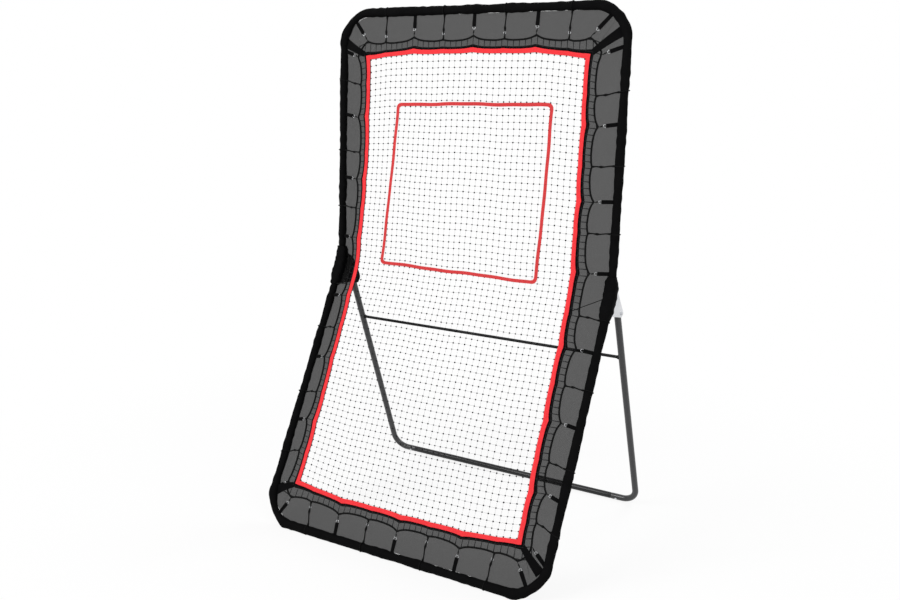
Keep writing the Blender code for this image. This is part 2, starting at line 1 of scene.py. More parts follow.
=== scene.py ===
"""Dresses the pitching target net: fabric sleeve, skirt, knotted net, bands, straps, hinge and leg.

Every soft piece is worked out on two shared surfaces: the bent frame, and the taut net whose fold stands in
front of the hinge. Metres, X right, Y away from the thrower, Z up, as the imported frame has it."""

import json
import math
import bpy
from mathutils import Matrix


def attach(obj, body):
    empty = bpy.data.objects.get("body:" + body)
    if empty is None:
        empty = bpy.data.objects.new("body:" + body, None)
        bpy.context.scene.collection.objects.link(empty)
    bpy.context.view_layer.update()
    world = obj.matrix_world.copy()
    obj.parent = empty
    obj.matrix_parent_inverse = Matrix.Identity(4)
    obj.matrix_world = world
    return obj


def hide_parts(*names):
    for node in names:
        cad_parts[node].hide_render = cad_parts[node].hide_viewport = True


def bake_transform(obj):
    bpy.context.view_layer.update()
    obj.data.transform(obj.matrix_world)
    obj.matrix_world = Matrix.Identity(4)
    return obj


bl_info = {
    "name": "Pitching Target Net",
    "version": (1, 0, 0),
    "blender": (4, 5, 0),
    "location": "View3D > Sidebar > Target Net",
    "description": "Builds the fabric, net, hinge and leg of a pitching target net round its frame",
    "category": "Object",
}

import bmesh
import bpy
import numpy as np
from mathutils import Matrix, Vector

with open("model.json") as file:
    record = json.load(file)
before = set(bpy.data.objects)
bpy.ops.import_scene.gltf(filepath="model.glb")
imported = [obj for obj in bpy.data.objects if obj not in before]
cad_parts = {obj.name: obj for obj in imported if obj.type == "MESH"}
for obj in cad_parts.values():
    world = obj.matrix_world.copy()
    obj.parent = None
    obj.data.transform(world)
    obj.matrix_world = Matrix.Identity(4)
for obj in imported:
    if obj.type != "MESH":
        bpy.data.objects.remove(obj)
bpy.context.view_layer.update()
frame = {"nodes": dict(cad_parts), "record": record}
JOINTS = {j["name"]: j for j in frame["record"]["behaviour"]["joints"]}
HINGE = np.array(JOINTS["frame_tilt"]["pos_m"], float)
PIVOT = np.array(JOINTS["leg_fold"]["pos_m"], float)
X, Y, Z = np.eye(3)
LOWER_BODY, UPPER_BODY, LEG_BODY = "lower_frame", "upper_frame", "rear_leg"
BOTH = "both"  # a piece that spans the hinge, between the lower and the upper body; it is baked in place and attached to neither
LEFT, RIGHT = -1, 1
HANDS = ((LEFT, "left"), (RIGHT, "right"))


# Sizes and finishes a user would change
def length(label, words, value):
    return bpy.props.FloatProperty(name=label, description=words, default=value, unit="LENGTH", precision=4)


def angle(label, words, degrees):
    return bpy.props.FloatProperty(name=label, description=words, default=math.radians(degrees), unit="ROTATION")


def colour(label, words, value):
    return bpy.props.FloatVectorProperty(name=label, description=words, default=value, size=3, subtype="COLOR",
                                         min=0.0, max=1.0)


class NetFrameSizes(bpy.types.PropertyGroup):
    """Sizes of the tube frame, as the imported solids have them."""
    width: length("Width", "Side tube to side tube, centre lines", 1.190)
    upper: length("Upper length", "Hinge axis to the top tube", 0.980)
    lower: length("Lower length", "Hinge axis to the bottom tube", 1.090)
    leg: length("Leg length", "Leg pivot to the rear tube on the ground", 0.9304129)
    upper_lean: angle("Upper lean", "Upper half, back from upright", 2.5)
    lower_lean: angle("Lower lean", "Lower half, back from upright", 28.5)
    leg_lean: angle("Leg lean", "Rear leg, back from upright", 21.0)
    corner: length("Corner radius", "Bend of the frame tubes", 0.125)
    leg_corner: length("Leg corner radius", "Bend of the leg tubes", 0.062)
    tube: length("Tube radius", "Outside radius of the tubes", 0.0125)
    sleeve: length("Sleeve radius", "Outside radius of the fabric sleeve", 0.0158)


class NetClothSizes(bpy.types.PropertyGroup):
    """Sizes of the net, its bands and its skirt."""
    fold_out: length("Fold out", "Net fold in front of the hinge", 0.065)
    fold_down: length("Fold down", "Net fold below the hinge", 0.016)
    red_side: length("Side margin", "Side tube to the red band", 0.120)
    red_top: length("Top margin", "Top tube to the red band", 0.148)
    red_bottom: length("Bottom margin", "Bottom tube to the red band", 0.144)
    red_wide: length("Red band width", "Width of the red border band", 0.0155)
    black_out: length("Backing margin", "Black band past the red one", 0.009)
    past_red: length("Net margin", "Net past the red band to the rope", 0.0300)
    mesh: length("Mesh", "Knot to knot", 0.0239)
    strand: length("Strand radius", "Radius of the net's cord", 0.00022)
    selvage: length("Selvage radius", "Radius of the doubled cord past the red band", 0.0018)
    knot: length("Knot radius", "Radius of the net's knots", 0.0035)
    rope: length("Rope radius", "Radius of the edge rope", 0.0034)
    zone_wide: length("Zone width", "Strike zone, outside", 0.684)
    zone_high: length("Zone height", "Strike zone, outside", 0.632)
    zone_band: length("Zone band", "Strike zone band width", 0.0128)


class NetFinishes(bpy.types.PropertyGroup):
    """Base colours of the finishes."""
    sleeve: colour("Sleeve", "Black woven sleeve and webbing", (0.0032, 0.0032, 0.0034))
    skirt: colour("Skirt", "Fine black mesh", (0.008, 0.008, 0.008))
    cord: colour("Cord", "Net cord", (0.018, 0.018, 0.019))
    red: colour("Red band", "Red webbing", (0.83, 0.042, 0.050))
    zone: colour("Zone band", "Red webbing of the strike zone", (0.60, 0.048, 0.051))
    paint: colour("Tube paint", "Dark satin powder coat", (0.026, 0.0265, 0.028))
    zinc: colour("Zinc", "Zinc plate", (0.66, 0.67, 0.69))


def sizes():
    scene = bpy.context.scene
    return scene.net_frame_sizes, scene.net_cloth_sizes, scene.net_finishes


# Working planes and the net's surface
def unit(v):
    """A vector, or each of many, divided by its length."""
    return v / np.linalg.norm(v, axis=-1, keepdims=True)


class Plane:
    """u runs along X, v along the piece away from its pivot, n to the thrower's side."""

    def __init__(self, origin, along, front):
        self.o, self.e, self.f = (np.array(a, float) for a in (origin, along, front))

    def at(self, u, v, n=0.0):
        """Origin plus u along X, v along the piece and n to the front."""
        u, v, n = np.broadcast_arrays(*(np.asarray(a, float) for a in (u, v, n)))
        return self.o + u[..., None] * X + v[..., None] * self.e + n[..., None] * self.f


def planes():
    """The frame's three planes from its lean angles."""
    fs, _, _ = sizes()
    a, b, c = fs.upper_lean, fs.lower_lean, fs.leg_lean
    return (Plane(HINGE, (0, math.sin(a), math.cos(a)), (0, -math.cos(a), math.sin(a))),
            Plane(HINGE, (0, -math.sin(b), -math.cos(b)), (0, -math.cos(b), math.sin(b))),
            Plane(PIVOT, (0, math.sin(c), -math.cos(c)), (0, -math.cos(c), -math.sin(c))))


def in_turn(count, first, second):
    """Two values by turns."""
    return np.where(np.arange(count) % 2 == 0, first, second)


# Straps and ties take turns, and a strap pulls the rope out further. Top and bottom places are from the middle,
# side places from the hinge: an even pitch, and how far each one stands off it.
STRAP, TIE = 1.0, 0.30
TOP_AT = 0.1295 * np.arange(-4, 5)
TOP_AT[[0, -1]] = -0.470, 0.470
UP_SHIFT = {LEFT: (0.046, 0.040, 0.031, 0.011, 0.028, 0.034, 0.020),
            RIGHT: (0.011, 0.024, 0.009, 0.005, 0.021, 0.002, 0.026)}
LOW_SHIFT = {LEFT: (0.0, -0.069, -0.051, -0.044, -0.016, -0.018, -0.006, 0.026),
             RIGHT: (0.0, 0.0, 0.016, 0.032, 0.057, 0.050, 0.039, 0.032)}
UP_AT = {side: 0.051 + 0.128 * np.arange(7) + np.array(UP_SHIFT[side]) for side in (LEFT, RIGHT)}
LOW_AT = {side: 0.113 + 0.1195 * np.arange(8) + np.array(LOW_SHIFT[side]) for side in (LEFT, RIGHT)}
TOP_KIND, UP_KIND, LOW_KIND = in_turn(9, STRAP, TIE), in_turn(7, STRAP, TIE), in_turn(8, TIE, STRAP)
PULL, REACH, POINTED = 0.0185, 0.032, 0.026   # a strap's pull, how far inward it is felt, its peak's width
BROW, BROW_TILT, DROOP = 0.006, 0.004, 0.038  # bows of the top and bottom edges, and how far their ends fall back
FLANK, WAIST, HELD = 0.013, 0.0147, 0.5       # bows of the side edges; the share of the droop that the rope is spared
BOW_POWER, FOLD_ROUND = 2.5, 0.045
SLACK_MARGIN, WAVE_MARGIN = 0.15, 0.20        # how far from the edges the mesh's slack and waves are full


class NetSurface:
    """The taut net as a function of u, across, and t, along from its fold, upward positive."""

    def __init__(self):
        fs, cs, _ = sizes()
        self.up, self.low, _ = planes()
        self.fold = HINGE + cs.fold_out * unit(self.up.f + self.low.f) - cs.fold_down * Z
        top, bottom = self.up.at(0, fs.upper), self.low.at(0, fs.lower)
        self.span_up, self.span_low = (float(np.linalg.norm(end - self.fold)) for end in (top, bottom))
        self.e_up, self.e_low = unit(top - self.fold), unit(bottom - self.fold)
        self.red_half = fs.width / 2 - cs.red_side
        self.red_t1 = self.span_up - cs.red_top
        self.red_t0 = -(self.span_low - cs.red_bottom)
        self.half = self.red_half + cs.past_red
        self.t1 = self.red_t1 + cs.past_red
        self.t0 = self.red_t0 - cs.past_red
        self.depth, self.rim = cs.fold_out, cs.red_side
        self.side_at = {side: np.concatenate([-self.t_low(LOW_AT[side])[::-1], self.t_up(UP_AT[side])])
                        for side in (LEFT, RIGHT)}
        self.side_kind = np.concatenate([LOW_KIND[::-1], UP_KIND])

    def t_up(self, v):
        """How far up the net a place on the upper frame half lies."""
        return (v - (self.fold - HINGE) @ self.up.e) / (self.e_up @ self.up.e)

    def t_low(self, v):
        """How far down the net a place on the lower frame half lies."""
        return (v - (self.fold - HINGE) @ self.low.e) / (self.e_low @ self.low.e)

    @staticmethod
    def scallop(x, at, kind):
        """Pointed peaks at the attachments: the largest of kind times exp of minus distance over width."""
        away = np.abs(np.asarray(x)[..., None] - at)
        return np.max(kind * np.exp(-away / (POINTED * (0.5 + 0.5 * kind))), axis=-1)

    def inside(self, u, t, margin):
        """0 at the net's edges, rising evenly to 1 a margin further in."""
        return (np.clip((self.half - np.abs(u)) / margin, 0, 1)
                * np.clip(np.minimum(self.t1 - t, t - self.t0) / margin, 0, 1))

    def pulled(self, u, t):
        """In-plane place of a point: slow bows of the four edges that grow with a power of the distance from the
        middle, pointed pulls toward the attachments that fade with distance inward, and the mesh's slack as sines."""
        u, t = np.broadcast_arrays(np.asarray(u, float), np.asarray(t, float))
        x, s = u / self.half, t / np.where(t > 0, self.t1, -self.t0)
        lefty = (1 - np.tanh(6 * x)) / 2
        flank = WAIST * lefty * (np.abs(s) ** 8 - np.exp(-((s - 0.45) / 0.25) ** 2)) - FLANK * s
        past = np.clip(np.where(t > 0, t - self.red_t1, self.red_t0 - t) / (self.t1 - self.red_t1), 0, 1)
        brow = np.where(t > 0, BROW, BROW - BROW_TILT * x) - DROOP * x ** 4 * (1 - HELD * past)
        left, right = (self.scallop(t, self.side_at[hand], self.side_kind) for hand in (LEFT, RIGHT))
        side, top, low = (np.exp(-np.maximum(away, 0.0) / REACH)
                          for away in (self.half - np.abs(u), self.t1 - t, t - self.t0))
        loose = self.inside(u, t, SLACK_MARGIN)
        slack_u = 0.00072 * np.sin(37.0 * t + 5.0 * u) + 0.00054 * np.sin(23.0 * u - 31.0 * t + 1.3)
        slack_t = 0.0014 * np.sin(19.0 * u + 3.0 * t) + 0.0006 * np.sin(47.0 * u + 9.0 * t)
        du = np.sign(u) * (PULL * np.where(u < 0, left, right) * side + np.abs(x) ** BOW_POWER * flank)
        dt = PULL * self.scallop(u, TOP_AT, TOP_KIND) * (top - low) + np.sign(t) * np.abs(s) ** BOW_POWER * brow
        return u + du + slack_u * loose, t + dt + slack_t * loose

    def at(self, u, t, n=0.0, wave=1.0):
        """fold + (q+t)/2 e_up + (q-t)/2 e_low with q = root of t squared plus a rounding squared, then n along the
        normal, with slow waves; past the red band the net slopes straight back to the side tubes."""
        u, t = self.pulled(u, t)
        q = np.sqrt(t * t + FOLD_ROUND ** 2)
        p = (self.fold + u[..., None] * X + ((q + t) / 2)[..., None] * self.e_up
             + ((q - t) / 2)[..., None] * self.e_low)
        d = ((t / q + 1) / 2)[..., None] * self.e_up + ((t / q - 1) / 2)[..., None] * self.e_low
        m = unit(np.cross(X, d))
        waves = 0.0035 * np.sin(9.0 * t + 4.0 * u) + 0.0022 * np.sin(17.0 * u - 6.0 * t)
        shelf = 1 - np.abs(t) / np.where(t > 0, self.span_up, self.span_low)
        slope = self.depth * np.clip(shelf, 0, 1) * np.clip((np.abs(u) - self.red_half) / self.rim, 0, 1)
        lift = np.asarray(n, float) + wave * self.inside(u, t, WAVE_MARGIN) * waves - slope
        return p + lift[..., None] * m, m


# Mesh helpers
class Patch:
    """Vertices, four-sided faces and their corner UVs in metres."""

    def __init__(self, v, f, uv):
        self.v, self.f, self.uv = v, f, uv


UV_STEP = 0.01
MERGE, FLAT_EDGE = 1e-6, 1e-7


def sheet_patch(p, ua=None, vb=None, wrap_a=False, wrap_b=False):
    """Faces over a grid of points p[a, b]; ua and vb are the UV steps along both ways."""
    na, nb = p.shape[:2]
    a, b = np.meshgrid(np.arange(na if wrap_a else na - 1), np.arange(nb if wrap_b else nb - 1), indexing="ij")
    a, b = a.ravel(), b.ravel()
    a2, b2 = a + 1, b + 1
    faces = np.stack([a * nb + b, (a2 % na) * nb + b, (a2 % na) * nb + b2 % nb, a * nb + b2 % nb], 1)
    ua = np.arange(na + 1) * UV_STEP if ua is None else ua
    vb = np.arange(nb + 1) * UV_STEP if vb is None else vb
    uv = np.stack([np.stack([ua[i], vb[j]], 1) for i, j in ((a, b), (a2, b), (a2, b2), (a, b2))], 1)
    return Patch(p.reshape(-1, 3), faces, uv)


def run_length(path, wrap=False):
    """Distance along a line of points, one more than the points where the line closes."""
    steps = np.linalg.norm(np.diff(np.concatenate([path, path[:1]]) if wrap else path, axis=0), axis=1)
    return np.concatenate([[0.0], np.cumsum(steps), [steps.sum() + steps[-1]]])


def angles(sides):
    """Even steps round a full circle."""
    return 2 * np.pi * np.arange(sides) / sides


def tube(path, side, radius, sides=12, wrap=False, caps=True):
    """A ring of radius r carried along a path; side is the ring's fixed second axis, and r may vary over the grid."""
    path = np.asarray(path, float)
    along = unit(np.roll(path, -1, 0) - np.roll(path, 1, 0) if wrap else np.gradient(path, axis=0))
    side = np.broadcast_to(np.asarray(side, float), path.shape)
    side = unit(side - along * np.sum(side * along, axis=1, keepdims=True))
    out = np.cross(along, side)
    th = angles(sides)
    r = np.asarray(radius, float)
    r = np.broadcast_to(r.reshape(r.shape + (1,) * (2 - r.ndim)), (len(path), sides))
    p = path[:, None] + r[..., None] * (np.cos(th)[:, None] * out[:, None] + np.sin(th)[:, None] * side[:, None])
    ua = run_length(path, wrap)
    if caps and not wrap:
        p = capped(path, p)
        ua = np.concatenate([[0.0], ua[:len(path)], [ua[len(path) - 1]] * 2])
    return sheet_patch(p, ua, th_steps(sides, float(np.mean(r))), wrap_a=wrap, wrap_b=True)


def capped(path, p):
    """The rings with both ends drawn together to a point on the path."""
    first, last = (np.repeat(end[:, None], p.shape[1], 1) for end in (path[:1], path[-1:]))
    return np.concatenate([first, p, last])


def th_steps(sides, radius):
    """Distances round a ring: its circumference in even steps."""
    return 2 * np.pi * radius * np.arange(sides + 1) / sides


def hollow(path, side, radius, bore, sides, round_at):
    """A hollow tube as one closed surface: outside along the path, then back along the bore."""
    out, inn = (tube(path, side, r, sides, caps=False).v.reshape(len(path), sides, 3) for r in (radius, bore))
    run = run_length(path)[:len(path)]
    return sheet_patch(np.concatenate([out, inn[::-1]]), np.concatenate([run, run[::-1], run[:1]]),
                       th_steps(sides, round_at), wrap_a=True, wrap_b=True)


def join(patches):
    """Several patches as one."""
    base = np.cumsum([0] + [len(q.v) for q in patches[:-1]])
    return Patch(np.concatenate([q.v for q in patches]), np.concatenate([q.f + k for q, k in zip(patches, base)]),
                 np.concatenate([q.uv for q in patches]))


def slab(front, back, ua, vb, wrap_a=False):
    """A thin closed solid between two grids of points: both faces and the rim, as one closed profile."""
    p = np.concatenate([front, back[:, ::-1]], axis=1)
    if not wrap_a:
        p = capped(p.mean(1), p)
        ua = np.concatenate([[ua[0]], ua[:len(front)], [ua[len(front) - 1]] * 2])
    return sheet_patch(p, ua, np.concatenate([vb, vb[::-1], vb[:1]]), wrap_a=wrap_a, wrap_b=True)


def make(name, patch, mat, body, replaces, tidy=True, crease=None, turn=(0.06, 0.06)):
    """Puts a patch into the scene as a finished piece with its UV map, finish and replaced solids, parented to its
    body; a piece that spans both halves is baked in place instead.
    """
    data = bpy.data.meshes.new(name)
    nf = len(patch.f)
    data.vertices.add(len(patch.v))
    data.vertices.foreach_set("co", np.ascontiguousarray(patch.v, np.float32).ravel())
    data.loops.add(nf * 4)
    data.loops.foreach_set("vertex_index", np.ascontiguousarray(patch.f, np.int32).ravel())
    data.polygons.add(nf)
    data.polygons.foreach_set("loop_start", np.arange(nf, dtype=np.int32) * 4)
    layer = data.uv_layers.new(name="lay")
    layer.data.foreach_set("uv", np.ascontiguousarray(patch.uv, np.float32).ravel())
    data.update(calc_edges=True)
    if tidy:
        bm = bmesh.new()
        bm.from_mesh(data)
        bmesh.ops.remove_doubles(bm, verts=bm.verts, dist=MERGE)
        bmesh.ops.dissolve_degenerate(bm, edges=bm.edges, dist=FLAT_EDGE)
        bmesh.ops.recalc_face_normals(bm, faces=bm.faces)
        bm.to_mesh(data)
        bm.free()
    data.polygons.foreach_set("use_smooth", np.full(len(data.polygons), True))
    if crease:
        data.set_sharp_from_angle(angle=crease)
    data.validate()
    obj = bpy.data.objects.new(name, data)
    bpy.context.scene.collection.objects.link(obj)
    data.materials.append(mat)
    if body == BOTH:
        up, low, _ = planes()
        tuple(low.at(0, turn[0]))
        tuple(up.at(0, turn[1]))
        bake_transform(obj)
    else:
        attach(obj, body)
    if replaces:
        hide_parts(*replaces)
    return obj


# Materials
def new_group(name, ins, outs):
    """A node group; a tuple makes a colour input, and so does the name Colour among the outputs."""
    group = bpy.data.node_groups.new(name, "ShaderNodeTree")
    for label, value in ins.items():
        kind = "NodeSocketColor" if isinstance(value, tuple) else "NodeSocketFloat"
        group.interface.new_socket(label, in_out="INPUT", socket_type=kind).default_value = value
    for label in outs:
        kind = "NodeSocketColor" if label == "Colour" else "NodeSocketFloat"
        group.interface.new_socket(label, in_out="OUTPUT", socket_type=kind)
    return group, group.nodes.new("NodeGroupInput").outputs, group.nodes.new("NodeGroupOutput")


def feed(tree, made, inputs):
    """Sets a node's inputs: a socket is linked, and anything else is a value."""
    for key, value in inputs.items():
        if isinstance(value, bpy.types.NodeSocket):
            tree.links.new(value, made.inputs[key])
        else:
            made.inputs[key].default_value = value


def node(tree, kind, inputs=None, **settings):
    """A node with its settings, its input values and its incoming links."""
    made = tree.nodes.new(kind)
    for key, value in settings.items():
        setattr(made, key, value)
    feed(tree, made, inputs or {})
    return made


def maths(tree, op, a, b=0.0):
    return node(tree, "ShaderNodeMath", {0: a, 1: b}, operation=op).outputs[0]


def times_plus(tree, a, factor, plus):
    """a times factor, plus a value."""
    return maths(tree, "ADD", maths(tree, "MULTIPLY", a, factor), plus)


def scaled(tree, tone, share):
    """A colour times a share."""
    return node(tree, "ShaderNodeVectorMath", {0: tone, "Scale": share}, operation="SCALE").outputs[0]


def own_uv(tree):
    """The piece's own UVs, in metres along and across."""
    uv = node(tree, "ShaderNodeUVMap", uv_map="lay").outputs[0]
    return node(tree, "ShaderNodeSeparateXYZ", {0: uv}).outputs


def object_noise(tree, scale, detail):
    """Noise in Object coordinates, 0 to 1."""
    place = node(tree, "ShaderNodeTexCoord").outputs["Object"]
    return node(tree, "ShaderNodeTexNoise", {"Vector": place, "Scale": scale, "Detail": detail}).outputs["Fac"]


def weave_group():
    """Plain weave on the piece's own UVs: crossed half waves, with a slow unevenness in tone, and painted shade that
    darkens the hollows between the thread crests.
    """
    group, gin, gout = new_group("cloth_weave", {"Tone": (0.01, 0.01, 0.01, 1), "Thread": 0.0009, "Uneven": 0.3},
                                 ("Colour", "Height", "Rough"))
    xyz = own_uv(group)
    turn = maths(group, "DIVIDE", math.pi, gin["Thread"])
    warp, weft = (maths(group, "SINE", maths(group, "MULTIPLY", xyz[i], turn)) for i in (0, 1))
    height = maths(group, "ABSOLUTE", maths(group, "MULTIPLY", warp, weft))
    cloud = object_noise(group, 26.0, 3.0)
    fade = times_plus(group, maths(group, "SUBTRACT", cloud, 0.5), gin["Uneven"], 0.85)
    # Colour is the tone times 0.3 of the weave's height plus the unevenness: painted shade in the hollows between the
    # threads, lighter on the crests.
    feed(group, gout, {"Colour": scaled(group, gin["Tone"], times_plus(group, height, 0.3, fade)), "Height": height,
                       "Rough": maths(group, "SUBTRACT", 0.92, maths(group, "MULTIPLY", cloud, 0.22))})
    return group


def scuff_group():
    """Metal and paint unevenness in Object coordinates: fine speckle, slow clouds and a fine height."""
    group, gin, gout = new_group(
        "metal_scuff", {"Tone": (0.05, 0.05, 0.05, 1), "Scale": 300.0, "Base Rough": 0.35, "Spread": 0.2},
        ("Colour", "Rough", "Height"))
    fine, slow = object_noise(group, gin["Scale"], 2.0), object_noise(group, 9.0, 5.0)
    lift = times_plus(group, slow, 0.6, times_plus(group, fine, 0.3, 0.55))
    rough = times_plus(group, maths(group, "SUBTRACT", slow, 0.5), gin["Spread"], gin["Base Rough"])
    feed(group, gout, {"Colour": scaled(group, gin["Tone"], lift), "Rough": rough, "Height": fine})
    return group


def material(name):
    """The material, and its tree and shader where it is new."""
    mat = bpy.data.materials.get(name)
    if mat:
        return mat, None, None
    mat = bpy.data.materials.new(name)
    mat.use_nodes = True
    return mat, mat.node_tree, mat.node_tree.nodes["Principled BSDF"]


def use_group(tree, name, build, inputs):
    """A shared node group, built once, with its own values here."""
    group = bpy.data.node_groups.get(name) or build()
    return node(tree, "ShaderNodeGroup", inputs, node_tree=group).outputs


def weave(tree, tone, thread, uneven):
    """The weave at one tone, thread spacing and unevenness."""
    return use_group(tree, "cloth_weave", weave_group, {"Tone": (*tone, 1), "Thread": thread, "Uneven": uneven})


def bumped(tree, height, strength, distance):
    """A normal from a height."""
    return node(tree, "ShaderNodeBump", {"Height": height, "Strength": strength, "Distance": distance}).outputs[0]


def cloth(name, tone, thread, uneven, bump, gloss, ribs=0.0):
    """Woven cloth or webbing; ribs adds raised cords along the strip at that spacing."""
    mat, tree, shader = material(name)
    if tree is None:
        return mat
    woven = weave(tree, tone, thread, uneven)
    height = woven["Height"]
    if ribs:
        rib = maths(tree, "ABSOLUTE", maths(tree, "SINE", maths(tree, "MULTIPLY", own_uv(tree)[1], math.pi / ribs)))
        height = times_plus(tree, height, 0.4, rib)
    feed(tree, shader, {"Base Color": woven["Colour"], "Roughness": woven["Rough"],
                        "Normal": bumped(tree, height, bump, 0.0004), "Specular IOR Level": gloss})
    return mat


def metal(name, tone, metallic, rough, spread, scale, bump, gloss=0.5):
    """Bare or painted metal with fine speckle and slow clouds in its tone and roughness."""
    mat, tree, shader = material(name)
    if tree is None:
        return mat
    scuff = use_group(tree, "metal_scuff", scuff_group,
                      {"Tone": (*tone, 1), "Scale": scale, "Base Rough": rough, "Spread": spread})
    feed(tree, shader, {"Base Color": scuff["Colour"], "Roughness": scuff["Rough"], "Metallic": metallic,
                        "Normal": bumped(tree, scuff["Height"], bump, 0.0003), "Specular IOR Level": gloss})
    return mat


def twisted(name, tone, lay):
    """Laid cord: slanting strands from the UVs, with painted shade darkening the grooves between them."""
    mat, tree, shader = material(name)
    if tree is None:
        return mat
    xyz = own_uv(tree)
    slant = maths(tree, "MULTIPLY", maths(tree, "ADD", xyz[0], maths(tree, "MULTIPLY", xyz[1], 0.9)), math.pi / lay)
    ridge = maths(tree, "ABSOLUTE", maths(tree, "SINE", slant))
    woven = weave(tree, tone, 0.0006, 0.4)
    # painted shade: the colour falls to half in the grooves and rises on the strands' ridges
    feed(tree, shader, {"Base Color": scaled(tree, woven["Colour"], times_plus(tree, ridge, 0.7, 0.5)),
                        "Roughness": woven["Rough"], "Normal": bumped(tree, ridge, 0.6, 0.0008),
                        "Specular IOR Level": 0.1})
    return mat


def skirt_mesh(tone):
    """Fine see-through mesh: small round holes between the threads, through the Alpha."""
    mat, tree, shader = material("skirt_weave")
    if tree is None:
        return mat
    woven = weave(tree, tone, 0.0016, 0.25)
    hole = node(tree, "ShaderNodeMapRange", {"Value": woven["Height"], "From Min": 0.15, "From Max": 0.85,
                                             "To Min": 0.76, "To Max": 0.56}).outputs[0]
    feed(tree, shader, {"Base Color": woven["Colour"], "Roughness": woven["Rough"], "Alpha": hole,
                        "Specular IOR Level": 0.03})
    return mat


def painted(name, share, rough, gloss):
    """The tubes' powder coat, at a share of its tone; a share below 1 gives a darker copy of the same paint that stands
    in for shade.
    """
    return metal(name, tuple(c * share for c in sizes()[2].paint), 0.0, rough, 0.12, 420.0, 0.08, gloss)


def webbed(name, tone, thread, uneven, gloss, ribs):
    """Webbing: heavy cloth with raised cords along the strip."""
    return cloth(name, tone, thread, uneven, 0.5, gloss, ribs)


# Frame tubes
TUBE_SIDES, ROUND_CREASE = 28, 0.6
WALL, SWAGE_IN, SWAGE_BORE = 0.0012, 0.0015, 0.0028   # taken off the tube's radius
SWAGE, ARM_PAST_BEND, FIT = 0.042, 0.046, 0.0003
UPPER_TAIL, LOWER_START, LEG_TAIL = -0.014, 0.024, -0.014
BAR_AT, BAR_R = 0.200, 0.0059
WELD_AT, WELD_R = (0.0, 0.001, 0.003, 0.006, 0.009), (0.0088, 0.0089, 0.0080, 0.0067)
SCREW_PAST_BEND = 0.024
SCREW_AT = np.array([0.0085, 0.0128, 0.0128, 0.0131, 0.0142, 0.0149, 0.0150, 0.0143, 0.0143])
SCREW_R = np.array([0.0019, 0.0019, 0.0043, 0.0045, 0.0043, 0.0030, 0.0014, 0.0011, 0.0002])


def arc(cu, cv, r, a0, a1, steps=14):
    """Centre plus r times cosine and sine, in even steps from angle a0 to a1."""
    a = np.linspace(a0, a1, steps)
    return np.stack([cu + r * np.cos(a), cv + r * np.sin(a)], 1)


def fill(path, step):
    """Points added along a flat line so that none lie further apart than step."""
    out = [path[:1]]
    for a, b in zip(path[:-1], path[1:]):
        k = max(1, int(math.ceil(np.linalg.norm(b - a) / step)))
        out.append(a + (b - a) * (np.arange(1, k + 1) / k)[:, None])
    return np.concatenate(out)


def u_line(start, far, r, half):
    """Centre line of a U: an arm, a quarter circle, the level part, a quarter circle, an arm."""
    return np.concatenate([[(-half, start)], arc(-half + r, far - r, r, math.pi, math.pi / 2),
                           arc(half - r, far - r, r, math.pi / 2, 0), [(half, start)]])


def arm_line(side, start, far, r, half, reach):
    """Centre line of a side tube: an arm, a quarter circle and a short level reach."""
    line = np.concatenate([[(-half, start)], arc(-half + r, far - r, r, math.pi, math.pi / 2), [(-half + reach, far)]])
    return line * np.array([-side, 1.0])


def tube_set(label, plane, start, far, r, body, nodes, mat, cross_mat):
    """Two bent side tubes with a rolled lip at their open ends, and the cross tube with its swaged ends."""
    fs, _, _ = sizes()
    half = fs.width / 2
    reach = r + ARM_PAST_BEND
    for (side, word), replaced in zip(HANDS, nodes):
        line = fill(arm_line(side, start, far, r, half, reach), 0.03)
        path = plane.at(line[:, 0], line[:, 1])
        end = path[-1]
        d = unit(end - path[-2])
        path = np.concatenate([path[:-1], [end - d * 0.004, end - d * 0.0005, end]])
        radii = np.full(len(path), fs.tube)
        radii[-2:] -= 0.0001, 0.0009
        wall = hollow(path, plane.f, radii, fs.tube - WALL, TUBE_SIDES, fs.tube)
        make(f"{label}_{word}", wall, mat, body, [replaced], crease=ROUND_CREASE)
    end = half - reach - FIT
    us = np.array([-end - SWAGE, -end, -end + 0.003, -end + 0.006])
    us = np.concatenate([us, np.linspace(-end + 0.05, end - 0.05, 12), -us[::-1]])
    radii = np.full(len(us), fs.tube)
    radii[:2] = radii[-2:] = fs.tube - SWAGE_IN
    radii[2] = radii[-3] = fs.tube - 0.0006
    wall = hollow(plane.at(us, far), plane.f, radii, fs.tube - SWAGE_BORE, TUBE_SIDES, fs.tube)
    make(f"{label}_cross", wall, cross_mat, body, [nodes[2]], crease=ROUND_CREASE)


class NetOperator(bpy.types.Operator):
    """Shared settings of the builders."""
    bl_options = {"REGISTER", "UNDO"}


class OBJECT_OT_net_tubes(NetOperator):
    """Smooth tubes of the upper and lower frame halves"""
    bl_idname = "object.net_tubes"
    bl_label = "Frame tubes"

    def execute(self, context):
        fs, _, _ = sizes()
        up, low, _ = planes()
        paint = painted("tube_paint", 1.0, 0.24, 0.5)
        tube_set("upper_tube", up, UPPER_TAIL, fs.upper, fs.corner, UPPER_BODY,
                 ("upper_left_tube", "upper_right_tube", "top_cross_tube"), paint, paint)
        tube_set("lower_tube", low, LOWER_START, fs.lower, fs.corner, LOWER_BODY,
                 ("lower_left_tube", "lower_right_tube", "bottom_cross_tube"), paint, paint)
        return {"FINISHED"}


